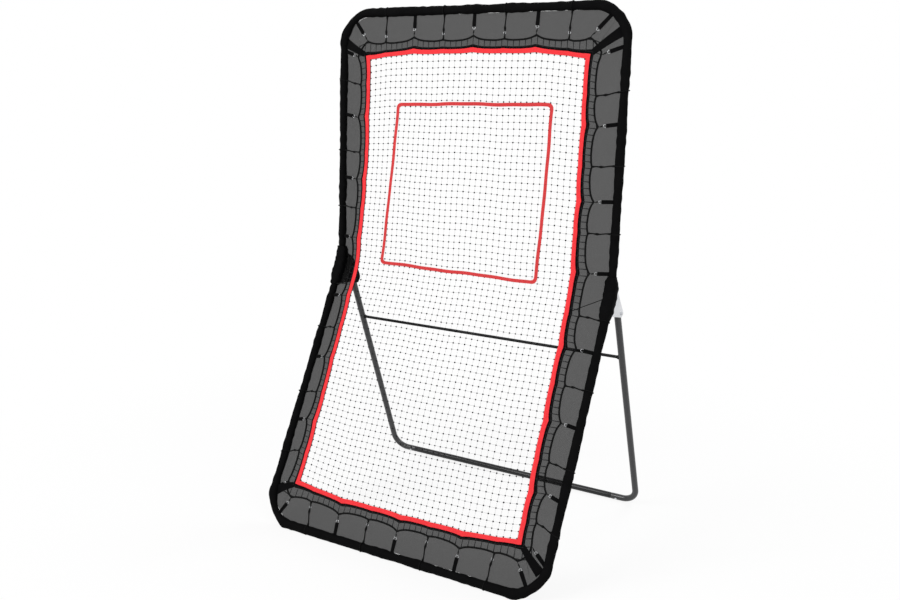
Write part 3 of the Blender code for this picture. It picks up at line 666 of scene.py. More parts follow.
class OBJECT_OT_net_leg(NetOperator):
    """Rear leg: bent tubes, ground tube, cross bar with its weld beads, and the joint screws"""
    bl_idname = "object.net_leg"
    bl_label = "Rear leg"

    def execute(self, context):
        fs, _, _ = sizes()
        leg = planes()[2]
        # The ground tube takes the tube paint at half its tone: painted shade, the same paint as the side tubes made
        # darker.
        tube_set("leg_tube", leg, LEG_TAIL, fs.leg, fs.leg_corner, LEG_BODY,
                 ("leg_left_tube", "leg_right_tube", "leg_bottom_tube"),
                 painted("tube_paint", 1.0, 0.24, 0.5), painted("ground_tube_shaded_paint", 0.5, 0.30, 0.30))
        end = fs.width / 2 - fs.tube + WALL
        us = np.array(WELD_AT) - end
        us = np.concatenate([us, np.linspace(-end + 0.05, end - 0.05, 10), -us[::-1]])
        radii = np.full(len(us), BAR_R)
        radii[:4] = radii[-4:][::-1] = WELD_R
        # The cross bar takes the tube paint at 0.3 of its tone: painted shade, the same paint made darker.
        make("leg_cross_bar_welded", tube(leg.at(us, BAR_AT), leg.f, radii, 24), painted("bar_shaded_paint", 0.3, 0.42, 0.12),
             LEG_BODY, ["leg_cross_bar"], crease=0.8)
        for side, word in HANDS:
            path = leg.at(side * (fs.width / 2 - fs.leg_corner - SCREW_PAST_BEND), fs.leg, SCREW_AT)
            make(f"leg_screw_{word}", lathe(path, leg.f, SCREW_R, 20), zinc_plate(), LEG_BODY,
                 [f"leg_joint_screw_{word}"], crease=ROUND_CREASE)
        return {"FINISHED"}


def lathe(path, along, radii, sides):
    """Rings of radius r at the given points round one straight axis, square to X."""
    th = angles(sides)
    ring = np.cos(th)[:, None] * X + np.sin(th)[:, None] * np.cross(along, X)
    return sheet_patch(capped(path, path[:, None] + radii[:, None, None] * ring), wrap_b=True)


# Hinges: distances along a bolt from the tube's middle, and radii
FIX_AT = (0.040, 0.080)
HEAD_R, HEAD_FROM, HEAD_TO, NUT_TO, CHAMFER, TOP_SHARE = 0.0066, 0.0164, 0.0208, 0.0199, 0.0009, 0.86
WASHER = np.array([(0.0163, 0.0), (0.0163, 0.0078), (0.0169, 0.0078), (0.0169, 0.0)])
SHANK = np.array([(-0.0212, 0.0), (-0.0212, 0.0032), (-0.0206, 0.0039), (0.0170, 0.0039), (0.0170, 0.0)])
BOLT_SIDES = 24


def zinc_plate():
    """Dull zinc plating."""
    return metal("zinc_plate", sizes()[2].zinc, 1.0, 0.36, 0.25, 160.0, 0.06)


class OBJECT_OT_net_hinges(NetOperator):
    """Zinc finish on the hinge plates, and hexagon bolts, washers and nuts"""
    bl_idname = "object.net_hinges"
    bl_label = "Hinges"

    def execute(self, context):
        fs, _, fn = sizes()
        low = planes()[1]
        steel = metal("zinc_bolt", tuple(c * 0.9 for c in fn.zinc), 1.0, 0.30, 0.2, 220.0, 0.05)
        spots = {"tilt_pivot": HINGE, "frame_fix_upper": low.at(0, FIX_AT[0]), "frame_fix_lower": low.at(0, FIX_AT[1]),
                 "leg_pivot": PIVOT}
        for side, word in HANDS:
            for where in ("inner", "outer"):
                plate = frame["nodes"][f"hinge_plate_{where}_{word}"]
                plate.data.materials.clear()
                plate.data.materials.append(zinc_plate())
            parts = []
            for at in spots.values():
                centre = at + X * side * fs.width / 2
                parts += [hexagon(centre, side, HEAD_TO), hexagon(centre, -side, NUT_TO),
                          turned(centre, side, *WASHER.T), turned(centre, -side, *WASHER.T),
                          turned(centre, side, *SHANK.T)]
            names = [f"{spot}_{kind}_{word}" for spot in spots for kind in ("bolt", "nut")]
            make(f"hinge_bolts_{word}", join(parts), steel, LOWER_BODY, names, crease=0.5)
        return {"FINISHED"}


def hexagon(centre, side, far):
    """A six-sided head or nut with its corners turned down to a round top face."""
    flat = np.cos(np.pi / 6) / np.cos((angles(BOLT_SIDES) % (np.pi / 3)) - np.pi / 6) * HEAD_R
    none = np.zeros(BOLT_SIDES)
    return turned(centre, side, np.array([HEAD_FROM, HEAD_FROM, far - CHAMFER, far, far]),
                  np.stack([none, flat, flat, none + HEAD_R * TOP_SHARE, none]))


def turned(centre, side, x, r):
    """Rings at distances x along a bolt; their radius r may vary round the ring."""
    th = angles(BOLT_SIDES)
    ring = np.cos(th)[:, None] * Y + np.sin(th)[:, None] * Z
    return sheet_patch(centre + side * x[:, None, None] * X + r.reshape(len(x), -1, 1) * ring, wrap_b=True)


# Sleeves and hinge pouches
SLEEVE_SIDES, SLEEVE_BORE, SLEEVE_FROM_UP, SLEEVE_FROM_LOW = 36, 0.0131, 0.034, 0.1045
HUMP_UP, HUMP_LOW = 0.0016, 0.0046
POUCH_FROM, POUCH_TO, POUCH_BEND, POUCH_R, POUCH_T = -0.112, 0.052, 0.012, 0.0168, 0.0016
OUTER_RAMP, INNER_RAMP = 0.042, 0.022                     # how fast the pouch fills out on either side
OUTER_FULL, INNER_FULL, FRONT_FULL = 0.0066, 0.0080, 0.0050
FLAP_END, FLAP_MARGIN, FLAP_ROUND = 0.117, 0.006, 0.007
SQUARED = 0.62                                            # power that flattens the pouch's arc


def wobble(a, b, seed):
    """Smooth repeatable unevenness from a few crossed sines."""
    s = seed * 1.7
    return (np.sin(a * 61 + 2.1 * np.sin(a * 17 + s) + b + s) * 0.5 + np.sin(a * 113 - 2 * b + 1.9 * s) * 0.3
            + np.sin(a * 29 + 3 * b - s) * 0.4)


def bell(x, middle, width):
    """e to the minus square of the distance from the middle over the width."""
    return np.exp(-((x - middle) / width) ** 2)


class OBJECT_OT_net_sleeves(NetOperator):
    """Black fabric sleeves round the frame tubes, with their creases and outer seam, and the hinge covers"""
    bl_idname = "object.net_sleeves"
    bl_label = "Sleeves"

    def execute(self, context):
        fs, _, fn = sizes()
        up, low, _ = planes()
        black = cloth("sleeve_cloth", fn.sleeve, 0.0008, 0.5, 0.30, 0.03)
        for word, plane, start, far, body, out, rise in (
                ("upper", up, SLEEVE_FROM_UP, fs.upper, UPPER_BODY, math.pi, HUMP_UP),
                ("lower", low, SLEEVE_FROM_LOW, fs.lower, LOWER_BODY, 0.0, HUMP_LOW)):
            line = fill(u_line(start, far, fs.corner, fs.width / 2), 0.006)
            path = plane.at(line[:, 0], line[:, 1])
            run = run_length(path)[:len(path)]
            a, b = np.meshgrid(run, angles(SLEEVE_SIDES), indexing="ij")
            side = np.angle(np.exp(1j * (b - out)))
            seed = len(word)
            crease = 0.00035 * wobble(a, b, 1.0 + seed) + 0.00028 * np.sin(a * 190 + 3 * np.sin(b))
            slow = (0.0012 * np.sin(a * 23 + 2 * np.sin(a * 9 + seed) + 0.6 * np.sin(b))
                    + 0.0009 * np.sin(a * 71 + 3 * np.sin(a * 31 + seed) + np.sin(b)))
            seam = 0.0016 * bell(side, 0.0, 0.16)
            hem = 0.0007 * np.exp(-np.minimum(a, run[-1] - a) / 0.006)
            radius = fs.sleeve - 0.0002 + crease + slow + seam + hem + rise * self.corner_folds(fs, line, far, side)
            patch = hollow(path, plane.f, radius, SLEEVE_BORE, SLEEVE_SIDES, 0.015)
            patch.v[:, 2] = np.maximum(patch.v[:, 2], 0.0)
            make(f"sleeve_{word}_cloth", patch, black, body, [f"sleeve_{word}"])
        self.covers(fs, up, low, black)
        return {"FINISHED"}

    def corner_folds(self, fs, line, far, side):
        """Cloth gathered at both ends of a bend: outward humps at 14 and 76 degrees round it, drawn in between."""
        du = np.clip(np.abs(line[:, 0]) - (fs.width / 2 - fs.corner), 0, None)
        dv = np.clip(line[:, 1] - (far - fs.corner), 0, None)
        turn = np.degrees(np.arctan2(dv, du))
        hump = bell(turn, 14, 11) + bell(turn, 76, 11) - 0.5 * bell(turn, 45, 14)
        return (hump * ((du > 0) & (dv > 0)))[:, None] * np.clip(np.cos(side), 0, 1)

    def covers(self, fs, up, low, black):
        """A soft pouch over each hinge: from the outside round the front of the tubes, then back along the inner plate.
        Across it is a flattened arc carried on as a straight flap; the flap reaches back as far as the plate's outline,
        the smallest of the outline's two slanting edges and its end, rounded off."""
        s = np.linspace(POUCH_FROM, POUCH_TO, 56)
        q = np.sqrt(s * s + POUCH_BEND ** 2)
        centre = HINGE + ((q + s) / 2)[:, None] * up.e + ((q - s) / 2)[:, None] * low.e
        front = unit(((1 + s / q) / 2)[:, None] * up.f + ((1 - s / q) / 2)[:, None] * low.f)[:, None]
        edges = np.stack([0.0088 + 2.167 * (0.0191 - s), 0.0062 + 3.25 * (0.1001 + s), np.full(len(s), FLAP_END)])
        back = -FLAP_ROUND * np.log(np.exp(-np.maximum(edges, 0.004) / FLAP_ROUND).sum(0)) + FLAP_MARGIN
        back = np.maximum(back, 0.003)[:, None]
        near = np.minimum(s - POUCH_FROM, POUCH_TO - s)[:, None]
        outer, inner = (x * x * (3 - 2 * x) for x in (np.clip(near / ramp, 0, 1) for ramp in (OUTER_RAMP, INNER_RAMP)))
        flap_at = np.linspace(0, 1, 22)[1:][None]
        aa, sa = np.broadcast_arrays(np.radians(np.linspace(-118, 90, 27))[None], s[:, None])
        across, ahead = (np.sign(w) * np.abs(w) ** SQUARED for w in (np.sin(aa), np.cos(aa)))
        for side, word in HANDS:
            pucker = 0.0007 * np.sin(sa * 230 + 4 * aa + side) + 0.0006 * np.sin(sa * 121 - 3 * aa)
            ripple = 0.0010 * np.sin(np.pi * flap_at) * np.sin(90 * s[:, None] + 5 * flap_at + side)
            layers = []
            for inset in (0.0, POUCH_T):
                wide = POUCH_R + np.where(aa < 0, OUTER_FULL * outer, INNER_FULL * inner) + pucker - inset
                deep = POUCH_R + FRONT_FULL * outer + pucker - inset
                i = np.concatenate([wide * across, wide[:, -1:] + ripple], 1)
                n = np.concatenate([deep * np.maximum(ahead, -0.45), -flap_at * (back - inset)], 1)
                layers.append(centre[:, None] + (side * (fs.width / 2 - i))[..., None] * X + n[..., None] * front)
            patch = slab(*layers, s - s[0], np.linspace(0, 0.17, layers[0].shape[1]))
            make(f"hinge_wrap_{word}", patch, black, BOTH, [f"hinge_cover_{word}"], turn=(0.004, 0.046))


# Skirt panels
SKIRT_ROWS, SKIRT_T, SKIRT_BACK, HEM_BACK, BAND_LAP = 9, 0.0005, -0.0035, -0.0036, 0.004
SLEEVE_LAP, POUCH_SEAT, FOLLOW = 0.0016, 0.0222, 0.976
LOW_NEAR, LOW_POUCH = (0.016, 0.032, 0.055, 0.08, 0.106, 0.111), 0.100    # rows near the hinge, and the pouch's end
UP_NEAR, UP_POUCH = (0.012, 0.026, 0.040, 0.046), 0.036
SEAM_FROM, SEAM_TO, SEAM_R = 0.030, 0.075, 0.0014
LEVEL_FLAT, SIDE_FLAT = (1.16, 0.165), (0.115, 2.06)       # the panels' flat sizes


class OBJECT_OT_net_skirt(NetOperator):
    """Four panels of fine mesh between the sleeve and the bands, and the seam across each side panel"""
    bl_idname = "object.net_skirt"
    bl_label = "Skirt"

    def execute(self, context):
        fs, cs, fn = sizes()
        net = NetSurface()
        mesh = skirt_mesh(fn.skirt)
        roll = cloth("seam_roll", fn.sleeve, 0.0010, 0.4, 0.5, 0.03)
        seat = fs.sleeve - SLEEVE_LAP
        straight = fs.width / 2 - fs.corner
        lap = cs.black_out - BAND_LAP
        edge = net.red_half + lap
        t_up, t_low = net.red_t1 + lap, net.red_t0 - lap
        for end, plane, far, t, body in (("upper", net.up, fs.upper, t_up, UPPER_BODY),
                                         ("lower", net.low, fs.lower, t_low, LOWER_BODY)):
            bend = arc(-straight, far - fs.corner, fs.corner - seat, math.radians(135), math.radians(90), 8)
            us = np.linspace(-straight, straight, 90)[1:-1]
            outer = np.concatenate([bend, np.stack([us, np.full(len(us), far - seat)], 1), (bend * (-1, 1))[::-1]])
            inner = net.at(np.linspace(-edge, edge, len(outer)), t, HEM_BACK, 0.0)[0]
            self.panel(f"skirt_{end}", plane.at(*outer.T, SKIRT_BACK), inner, mesh, body, [f"skirt_{end}"],
                       plane.f, LEVEL_FLAT)
        for side, word in HANDS:
            low, low_t = self.side_edge(net.low, fs.lower, side, LOW_NEAR, 0.116, 70, LOW_POUCH)
            up, up_t = self.side_edge(net.up, fs.upper, side, UP_NEAR, 0.06, 64, UP_POUCH)
            t = np.concatenate([t_low * low_t[::-1], t_up * up_t])
            front = np.repeat([net.low.f, net.up.f], [len(low), len(up)], 0)
            p = self.panel(f"skirt_{word}", np.concatenate([low[::-1], up]), net.at(side * edge, t, HEM_BACK, 0.0)[0],
                           mesh, BOTH, [], front, SIDE_FLAT)
            ends = t_low * FOLLOW * SEAM_FROM / (fs.lower - fs.corner), -SEAM_TO
            self.seam(f"skirt_seam_{word}", p, np.interp(ends, t, np.arange(len(t))), net.low.f, roll)
        return {"FINISHED"}

    def side_edge(self, plane, far, side, near, start, count, pouch):
        """A side panel's edge on the sleeve, from the hinge outward, and each point's share of the net's length."""
        fs, _, _ = sizes()
        seat = fs.sleeve - SLEEVE_LAP
        straight = far - fs.corner
        at = np.concatenate([near, np.linspace(start, straight, count)])
        bend = arc(fs.width / 2 - fs.corner, straight, fs.corner - seat, 0, math.radians(45), 8)[1:]
        u = np.concatenate([fs.width / 2 - np.where(at < pouch, POUCH_SEAT, seat), bend[:, 0]])
        share = np.concatenate([at / straight * FOLLOW, np.linspace(0.98, 1, 7)])
        return plane.at(side * u, np.concatenate([at, bend[:, 1]]), SKIRT_BACK), share

    def panel(self, name, outer, inner, mat, body, nodes, front, flat):
        """A ruled sheet from the sleeve to the band, a little slack between its edges."""
        k = np.linspace(0, 1, SKIRT_ROWS)
        run = run_length((outer + inner) / 2)
        a = run[:len(outer), None]
        front = np.broadcast_to(front, outer.shape)[:, None]
        slack = np.sin(np.pi * k) * (0.0022 * np.sin(a * 24) + 0.0012 * np.sin(a * 61 + 2) - 0.0025)
        p = outer[:, None] * (1 - k)[:, None] + inner[:, None] * k[:, None] + slack[..., None] * front
        gap = np.linalg.norm(inner - outer, axis=1).mean()
        obj = make(name, slab(p, p - SKIRT_T * front, run, k * gap), mat, body, nodes)
        at = p[:-1, :-1]
        a = np.linalg.norm(np.cross(p[1:, :-1] - at, p[:-1, 1:] - at), axis=2).sum()
        return p

    def seam(self, name, p, ends, front, mat):
        """The rolled seam where a panel's two lengths are sewn together: a thin cord straight across its rows."""
        row = np.linspace(*ends, SKIRT_ROWS)
        low, column = row.astype(int), np.arange(SKIRT_ROWS)
        part = (row - low)[:, None]
        line = p[low, column] * (1 - part) + p[low + 1, column] * part
        make(name, tube(line, front, SEAM_R, 8), mat, BOTH, ())


# Net and rope
SQUARE = np.array([[1, 0], [0, 1], [-1, 0], [0, -1]], float)      # section of a strand
SELVAGE_GROWS, ROPE_ROUND = 0.012, 0.030
KNOT_SIDES, KNOT_LATS, KNOT_FLAT, KNOT_SMALL = 6, np.array([-1.25, -0.55, 0.55, 1.25]), 0.75, 0.86


class OBJECT_OT_net_netting(NetOperator):
    """The knotted net with its edge rope"""
    bl_idname = "object.net_netting"
    bl_label = "Net and rope"

    def execute(self, context):
        _, cs, fn = sizes()
        net = NetSurface()
        cord = cloth("net_twine", fn.cord, 0.0005, 0.4, 0.2, 0.05)
        cols = int(round(2 * net.half / cs.mesh)) + 1
        rows = int(round((net.t1 - net.t0) / cs.mesh)) + 1
        u, t = np.meshgrid(np.linspace(-net.half, net.half, cols), np.linspace(net.t0, net.t1, rows), indexing="ij")
        p, m = net.at(u, t)
        past = np.maximum(np.abs(u) - net.red_half, np.maximum(t - net.red_t1, net.red_t0 - t))
        thick = cs.strand + (cs.selvage - cs.strand) * np.clip(past / SELVAGE_GROWS, 0, 1)
        down = np.cross(m, X)
        parts = [strands(p, np.broadcast_to(X, p.shape), m, thick),
                 strands(*(g.swapaxes(0, 1) for g in (p, down, m, thick))), knots(p, m, down, cs.knot)]
        make("net_mesh", join(parts), cord, BOTH, ["net_upper", "net_lower"], tidy=False)
        path, m = net.at(*rim(net.half, net.t0, net.t1, ROPE_ROUND, 1000), 0.0, 0.0)
        make("edge_rope_all_round", tube(path, m, cs.rope, 10, wrap=True), twisted("edge_rope_laid", fn.sleeve, 0.0052),
             BOTH, ["edge_rope_upper", "edge_rope_lower"])
        return {"FINISHED"}


def ring_faces(many, rings, n):
    """Faces round many stacks of rings of n points, with the ring and point that each starts from."""
    i, k, c = (g.ravel() for g in np.meshgrid(np.arange(many), np.arange(rings - 1), np.arange(n), indexing="ij"))
    base, c2 = (i * rings + k) * n, (c + 1) % n
    return np.stack([base + c, base + c2, base + n + c2, base + n + c], 1), k, c


def strands(p, across, lift, thick):
    """Square-sectioned strands along the rows of p as one patch, closed round and at both ends."""
    v = p[:, :, None] + thick[..., None, None] * (SQUARE[:, :1] * across[:, :, None] + SQUARE[:, 1:] * lift[:, :, None])
    ns, nk, nc = v.shape[:3]
    faces, k, c = ring_faces(ns, nk, nc)
    uv = np.stack([np.stack([(k + i) * 0.024, (c + j) * 0.0006], 1) for i, j in ((0, 0), (0, 1), (1, 1), (1, 0))], 1)
    first = np.arange(ns)[:, None] * nk * nc
    caps = np.concatenate([first + np.arange(nc)[::-1], first + (nk - 1) * nc + np.arange(nc)])
    return Patch(v.reshape(-1, 3), np.concatenate([faces, caps]), np.concatenate([uv, np.zeros((len(caps), 4, 2))]))


def knots(p, m, down, radius):
    """A small six-sided flattened bead at every crossing: four rings, with flat ends."""
    rings, th, r = len(KNOT_LATS), angles(KNOT_SIDES), np.cos(KNOT_LATS)[:, None]
    shape = np.stack(np.broadcast_arrays(r * np.cos(th), r * np.sin(th), np.sin(KNOT_LATS)[:, None] * KNOT_FLAT), -1)
    at = p.reshape(-1, 3)
    axes = np.stack([np.broadcast_to(X, at.shape), down.reshape(-1, 3), m.reshape(-1, 3)], 1)
    size = in_turn(len(at), 1.0, KNOT_SMALL)[:, None, None]
    v = at[:, None] + np.einsum("kc,ncd->nkd", shape.reshape(-1, 3) * radius, axes * size)
    first = np.arange(len(at))[:, None] * rings * KNOT_SIDES
    last = first + (rings - 1) * KNOT_SIDES
    faces = np.concatenate([ring_faces(len(at), rings, KNOT_SIDES)[0], first + (0, 3, 2, 1), first + (0, 5, 4, 3),
                            last + (0, 1, 2, 3), last + (0, 3, 4, 5)])
    uv = np.array([[0, 0], [0.001, 0], [0.001, 0.001], [0, 0.001]])
    return Patch(v.reshape(-1, 3), faces, np.broadcast_to(uv, (len(faces), 4, 2)))


def rim(half, t0, t1, r, count):
    """A rectangle's outline with rounded corners, as u and t, evenly spaced."""
    corners = [(half - r, t1 - r, 0), (-half + r, t1 - r, 1), (-half + r, t0 + r, 2), (half - r, t0 + r, 3)]
    line = np.concatenate([arc(cu, ct, r, k * math.pi / 2, (k + 1) * math.pi / 2, 12) for cu, ct, k in corners])
    run = run_length(line, True)[:len(line) + 1]
    at = np.linspace(0, run[-1], count, endpoint=False)
    closed = np.concatenate([line, line[:1]])
    return np.interp(at, run, closed[:, 0]), np.interp(at, run, closed[:, 1])


# Bands: layers before and behind the net
RED_LAYER, BLACK_LAYER, CROWN = (0.0013, 0.0024), (-0.0024, -0.0013), 0.0003
ACROSS, BAND_STEP, WEB_CREASE = 5, 0.012, 0.9
ZONE_BASE, ZONE_ROUND, ZONE_LEAN, ZONE_STILL = 0.016, 0.020, 0.021, 0.43


def frame_ring(half, t0, t1, wide):
    """Four mitred sides of a flat band: u and t grids, along and across, outer edge first."""
    k = np.linspace(0, 1, ACROSS)[:, None]
    signs = np.array([(-1, 0), (-1, 1), (1, 1), (1, 0)])
    outer, inner = (np.stack([signs[:, 0] * (half - d), np.where(signs[:, 1], t1 - d, t0 + d)], 1) for d in (0.0, wide))
    grids = []
    for a, b, c, d in zip(outer, np.roll(outer, -1, 0), inner, np.roll(inner, -1, 0)):
        x = np.linspace(0, 1, int(np.linalg.norm(b - a) / BAND_STEP), endpoint=False)[:, None]
        grids.append((a + (b - a) * x)[:, None] * (1 - k) + (c + (d - c) * x)[:, None] * k)
    return np.moveaxis(np.concatenate(grids), -1, 0)


def zone_ring(half, t0, t1, wide, r):
    """A band whose corners are rounded: outlines at even steps in from the outer edge."""
    lines = [rim(half - d, t0 + d, t1 - d, r - d * 0.7, 320) for d in np.linspace(0, wide, ACROSS)]
    return np.moveaxis(np.array(lines), 0, -1)


def band(net, name, u, t, wide, layer, crown, mat, body, nodes):
    """A closed flat band on the net, between two layers, with a slightly raised middle."""
    rise = np.sin(np.linspace(0, np.pi, ACROSS)) * crown
    front, back = net.at(u, t, layer[1] + rise)[0], net.at(u, t, layer[0])[0]
    patch = slab(front, back, run_length(front[:, 0], True), np.linspace(0, wide, ACROSS), wrap_a=True)
    make(name, patch, mat, body, nodes, crease=WEB_CREASE)


class OBJECT_OT_net_bands(NetOperator):
    """Red border, its black backing and the strike zone"""
    bl_idname = "object.net_bands"
    bl_label = "Bands"

    def execute(self, context):
        _, cs, fn = sizes()
        net = NetSurface()
        red = webbed("border_webbing", fn.red, 0.0011, 0.22, 0.06, 0.0026)
        zone = webbed("zone_webbing", fn.zone, 0.0011, 0.22, 0.06, 0.0026)
        black = webbed("backing_webbing", fn.sleeve, 0.0011, 0.4, 0.03, 0.0026)
        for word, out, layer, mat, slot in (("red", 0.0, RED_LAYER, red, "red_webbing"),
                                            ("black", cs.black_out, BLACK_LAYER, black, "black_fabric")):
            wide = cs.red_wide + out
            u, t = frame_ring(net.red_half + out, net.red_t0 - out, net.red_t1 + out, wide)
            band(net, f"{word}_border", u, t, wide, layer, CROWN, mat, BOTH,
                 [f"{word}_border_upper", f"{word}_border_lower"])
        u, t = zone_ring(cs.zone_wide / 2, ZONE_BASE, ZONE_BASE + cs.zone_high, cs.zone_band, ZONE_ROUND)
        u, t = self.askew(u, t, (t - ZONE_BASE) / cs.zone_high, u / cs.zone_wide + 0.5)
        band(net, "strike_zone_band", u, t, cs.zone_band, RED_LAYER, 0.0, zone, UPPER_BODY, ["strike_zone"])
        return {"FINISHED"}

    def askew(self, u, t, rise, right):
        """The zone hangs a little askew: each corner is moved on its own, and the sides follow."""
        left = 1 - right
        return (u + ZONE_LEAN * (rise - ZONE_STILL) + left * (0.010 * rise - 0.006) + right * (0.001 - 0.004 * rise),
                t - 0.015 * (1 - rise) * right - 0.0075 * left + 0.0021 * right)


# Straps and ties
STRAP_SHARE, TIE_SHARE = 0.60, 0.74                 # where along its reach a strap's or tie's ring sits
END_FROM, END_TURN, SIDE_MARGIN = 0.45, 0.95, 0.024
CORNER_STRAP_FROM = {LEFT: 0.114, RIGHT: 0.088}
CORNER_LAP, CORNER_PAST, CORNER_T = 0.0015, 0.005, 0.0007
WEB_HALF, WIRE_R = 0.0070, 0.0010
FOLD_T = (0.0017, 0.0018, 0.0018, 0.0018, 0.0015, 0.0008)      # half the thickness of a strap's folded end


class Spot:
    """A strap's or tie's place: unit vectors from tube to rope, along the tube and square to both, and the reach."""

    def __init__(self, root, tip, along, kind):
        self.root, self.strap, self.level = root, kind == STRAP, along is X
        self.reach = float(np.linalg.norm(tip - root))
        self.d = (tip - root) / self.reach
        self.a = unit(along - self.d * (along @ self.d))
        self.f = np.cross(self.d, self.a)
        self.sleeve = sizes()[0].sleeve
        self.end = self.sleeve + (self.reach - self.sleeve) * (STRAP_SHARE if self.strap else TIE_SHARE)

    def at(self, d, a=0.0, f=0.0):
        """Root plus d toward the rope, a along the tube and f square to both."""
        d, a, f = (w[..., None] for w in np.broadcast_arrays(d, a, f))
        return self.root + d * self.d + a * self.a + f * self.f


class OBJECT_OT_net_straps(NetOperator):
    """Webbing straps with wire rings, cord ties with knots, and the wide corner straps"""
    bl_idname = "object.net_straps"
    bl_label = "Straps and ties"

    def execute(self, context):
        fs, _, fn = sizes()
        net = NetSurface()
        web = webbed("strap_webbing", fn.sleeve, 0.0010, 0.4, 0.03, 0.0024)
        cord = twisted("tie_cord", fn.sleeve, 0.0036)
        wire = metal("ring_wire", tuple(c * 0.62 for c in fn.zinc), 1.0, 0.32, 0.2, 200.0, 0.04)
        for word, plane, far, at, kinds, body, sign in (
                ("upper", net.up, fs.upper, UP_AT, UP_KIND, UPPER_BODY, 1),
                ("lower", net.low, fs.lower, LOW_AT, LOW_KIND, LOWER_BODY, -1)):
            spots = self.spots(net, plane, far, at, kinds, sign)
            straps = [s for s in spots if s.strap]
            ties = [s for s in spots if not s.strap]
            rings = [s for s in spots if s.strap or s.level]
            for name, shape, chosen, mat, slot, crease in (
                    ("straps", webbing, straps, web, "black_fabric", WEB_CREASE),
                    ("strap_rings", ring_wire, rings, wire, "zinc", None),
                    ("strap_lashings", lashing, straps, cord, "edge_rope", None),
                    ("ties", tie, ties, cord, "edge_rope", None)):
                make(f"{name}_{word}", join([shape(s) for s in chosen]), mat, body, (), crease=crease)
            for side, hand in HANDS:
                make(f"corner_web_{word}_{hand}", self.corner(net, plane, far, side, sign), web, body,
                     [f"corner_strap_{word}_{hand}"], crease=WEB_CREASE)
        return {"FINISHED"}

    def spots(self, net, plane, far, at, kinds, sign):
        """The places of one frame half; the end ones of the level tube stand on its bends."""
        fs, _, _ = sizes()
        half, r = fs.width / 2, fs.corner
        spots = []
        for side in (LEFT, RIGHT):
            t_side = net.t_up(at[side]) if sign > 0 else -net.t_low(at[side])
            for v, t, kind in zip(at[side], np.clip(t_side, net.t0 + SIDE_MARGIN, net.t1 - SIDE_MARGIN), kinds):
                spots.append(Spot(plane.at(side * half, v), net.at(side * net.half, t, 0.0, 0.0)[0], plane.e, kind))
        for u, kind in zip(TOP_AT, TOP_KIND):
            root = plane.at(u, far)
            if abs(u) > END_FROM:
                root = plane.at(math.copysign(half - r + r * math.cos(END_TURN), u), far - r + r * math.sin(END_TURN))
            spots.append(Spot(root, net.at(u, net.t1 if sign > 0 else net.t0, 0.0, 0.0)[0], X, kind))
        return spots

    def corner(self, net, plane, far, side, sign):
        """A wide strap from the sleeve's inside to the border's corner, in front of rope and band."""
        fs, _, _ = sizes()
        rise = max(fs.corner - CORNER_STRAP_FROM[side], 0.0)
        inner = math.sqrt((fs.corner - fs.sleeve + CORNER_LAP) ** 2 - rise ** 2)
        start = plane.at(side * (fs.width / 2 - fs.corner + inner), far - CORNER_STRAP_FROM[side])
        red_t = net.red_t1 if sign > 0 else net.red_t0
        tip, m = net.at(side * (net.red_half + CORNER_PAST), red_t + sign * CORNER_PAST, 0.0012, 0.0)
        x = np.linspace(0, 1, 14)[:, None]
        mid = start * (1 - x) + tip * x + m * 0.0055 * np.sin(np.pi * x)
        width = (0.0190 - 0.0085 * x ** 0.8) * np.linspace(-1, 1, 7)
        front = mid[:, None] + width[..., None] * unit(np.cross(tip - start, m))
        return slab(front + m * CORNER_T, front - m * CORNER_T, x[:, 0] * 0.12, np.linspace(0, 0.021, 7))


def webbing(spot):
    """A flat strap 14 mm wide from the sleeve to its ring, folded back on itself at the end."""
    end, sleeve = spot.end, spot.sleeve
    x = np.concatenate([[sleeve - 0.0022], np.linspace(sleeve + 0.002, end - 0.006, 7),
                        [end - 0.003, end - 0.001, end]])
    thick = np.full((len(x), 1), 0.0009)
    thick[-len(FOLD_T):, 0] = FOLD_T
    k = np.linspace(-WEB_HALF, WEB_HALF, 6)
    return slab(spot.at(x[:, None], k, thick), spot.at(x[:, None], k, -thick), x, k + WEB_HALF)


def ring_wire(spot):
    """A small bent wire ring through the strap's fold, or a smaller one in a tie."""
    wide = 0.0054 if spot.strap else 0.0044
    th = angles(20)
    path = spot.at(spot.end + 0.0030 + wide * np.cos(th), wide * np.sin(th), 0.0003 * np.sin(2 * th))
    return tube(path, spot.f, WIRE_R, 6, wrap=True)


def lashing(spot):
    """A doubled cord from the ring to the rope with a small knot in it."""
    x = np.linspace(spot.end + 0.0075, spot.reach, 12)
    s = np.linspace(0, 1, 12)
    radius = 0.0011 + 0.0015 * bell(s, 0.45, 0.16) + 0.0014 * bell(s, 1.0, 0.12)
    return tube(spot.at(x, 0.0008 * np.sin(s * 7)), spot.f, radius, 8)


def tie(spot):
    """A cord looped once round the sleeve, knotted outside it, and led to the rope with a second knot."""
    x = np.linspace(spot.sleeve - 0.001, spot.reach, 26)
    s = np.linspace(0, 1, 26)
    radius = 0.0024 + 0.0017 * bell(s, 0.06, 0.06) + 0.0023 * bell(s, 0.60, 0.07) + 0.0016 * bell(s, 0.97, 0.06)
    path = spot.at(x, 0.0011 * np.sin(s * 9), 0.0009 * np.sin(s * 6 + 1))
    th = angles(30)
    r = spot.sleeve + 0.0013
    loop = spot.at(r * np.cos(th), 0.0, r * np.sin(th))
    bead = 0.0018 + 0.0009 * bell(th, np.pi, 0.40)
    both = join([tube(path, spot.f, radius, 8), tube(loop, spot.a, bead, 8, wrap=True)])
    both.v[:, 2] = np.maximum(both.v[:, 2], 0.0)
    return both


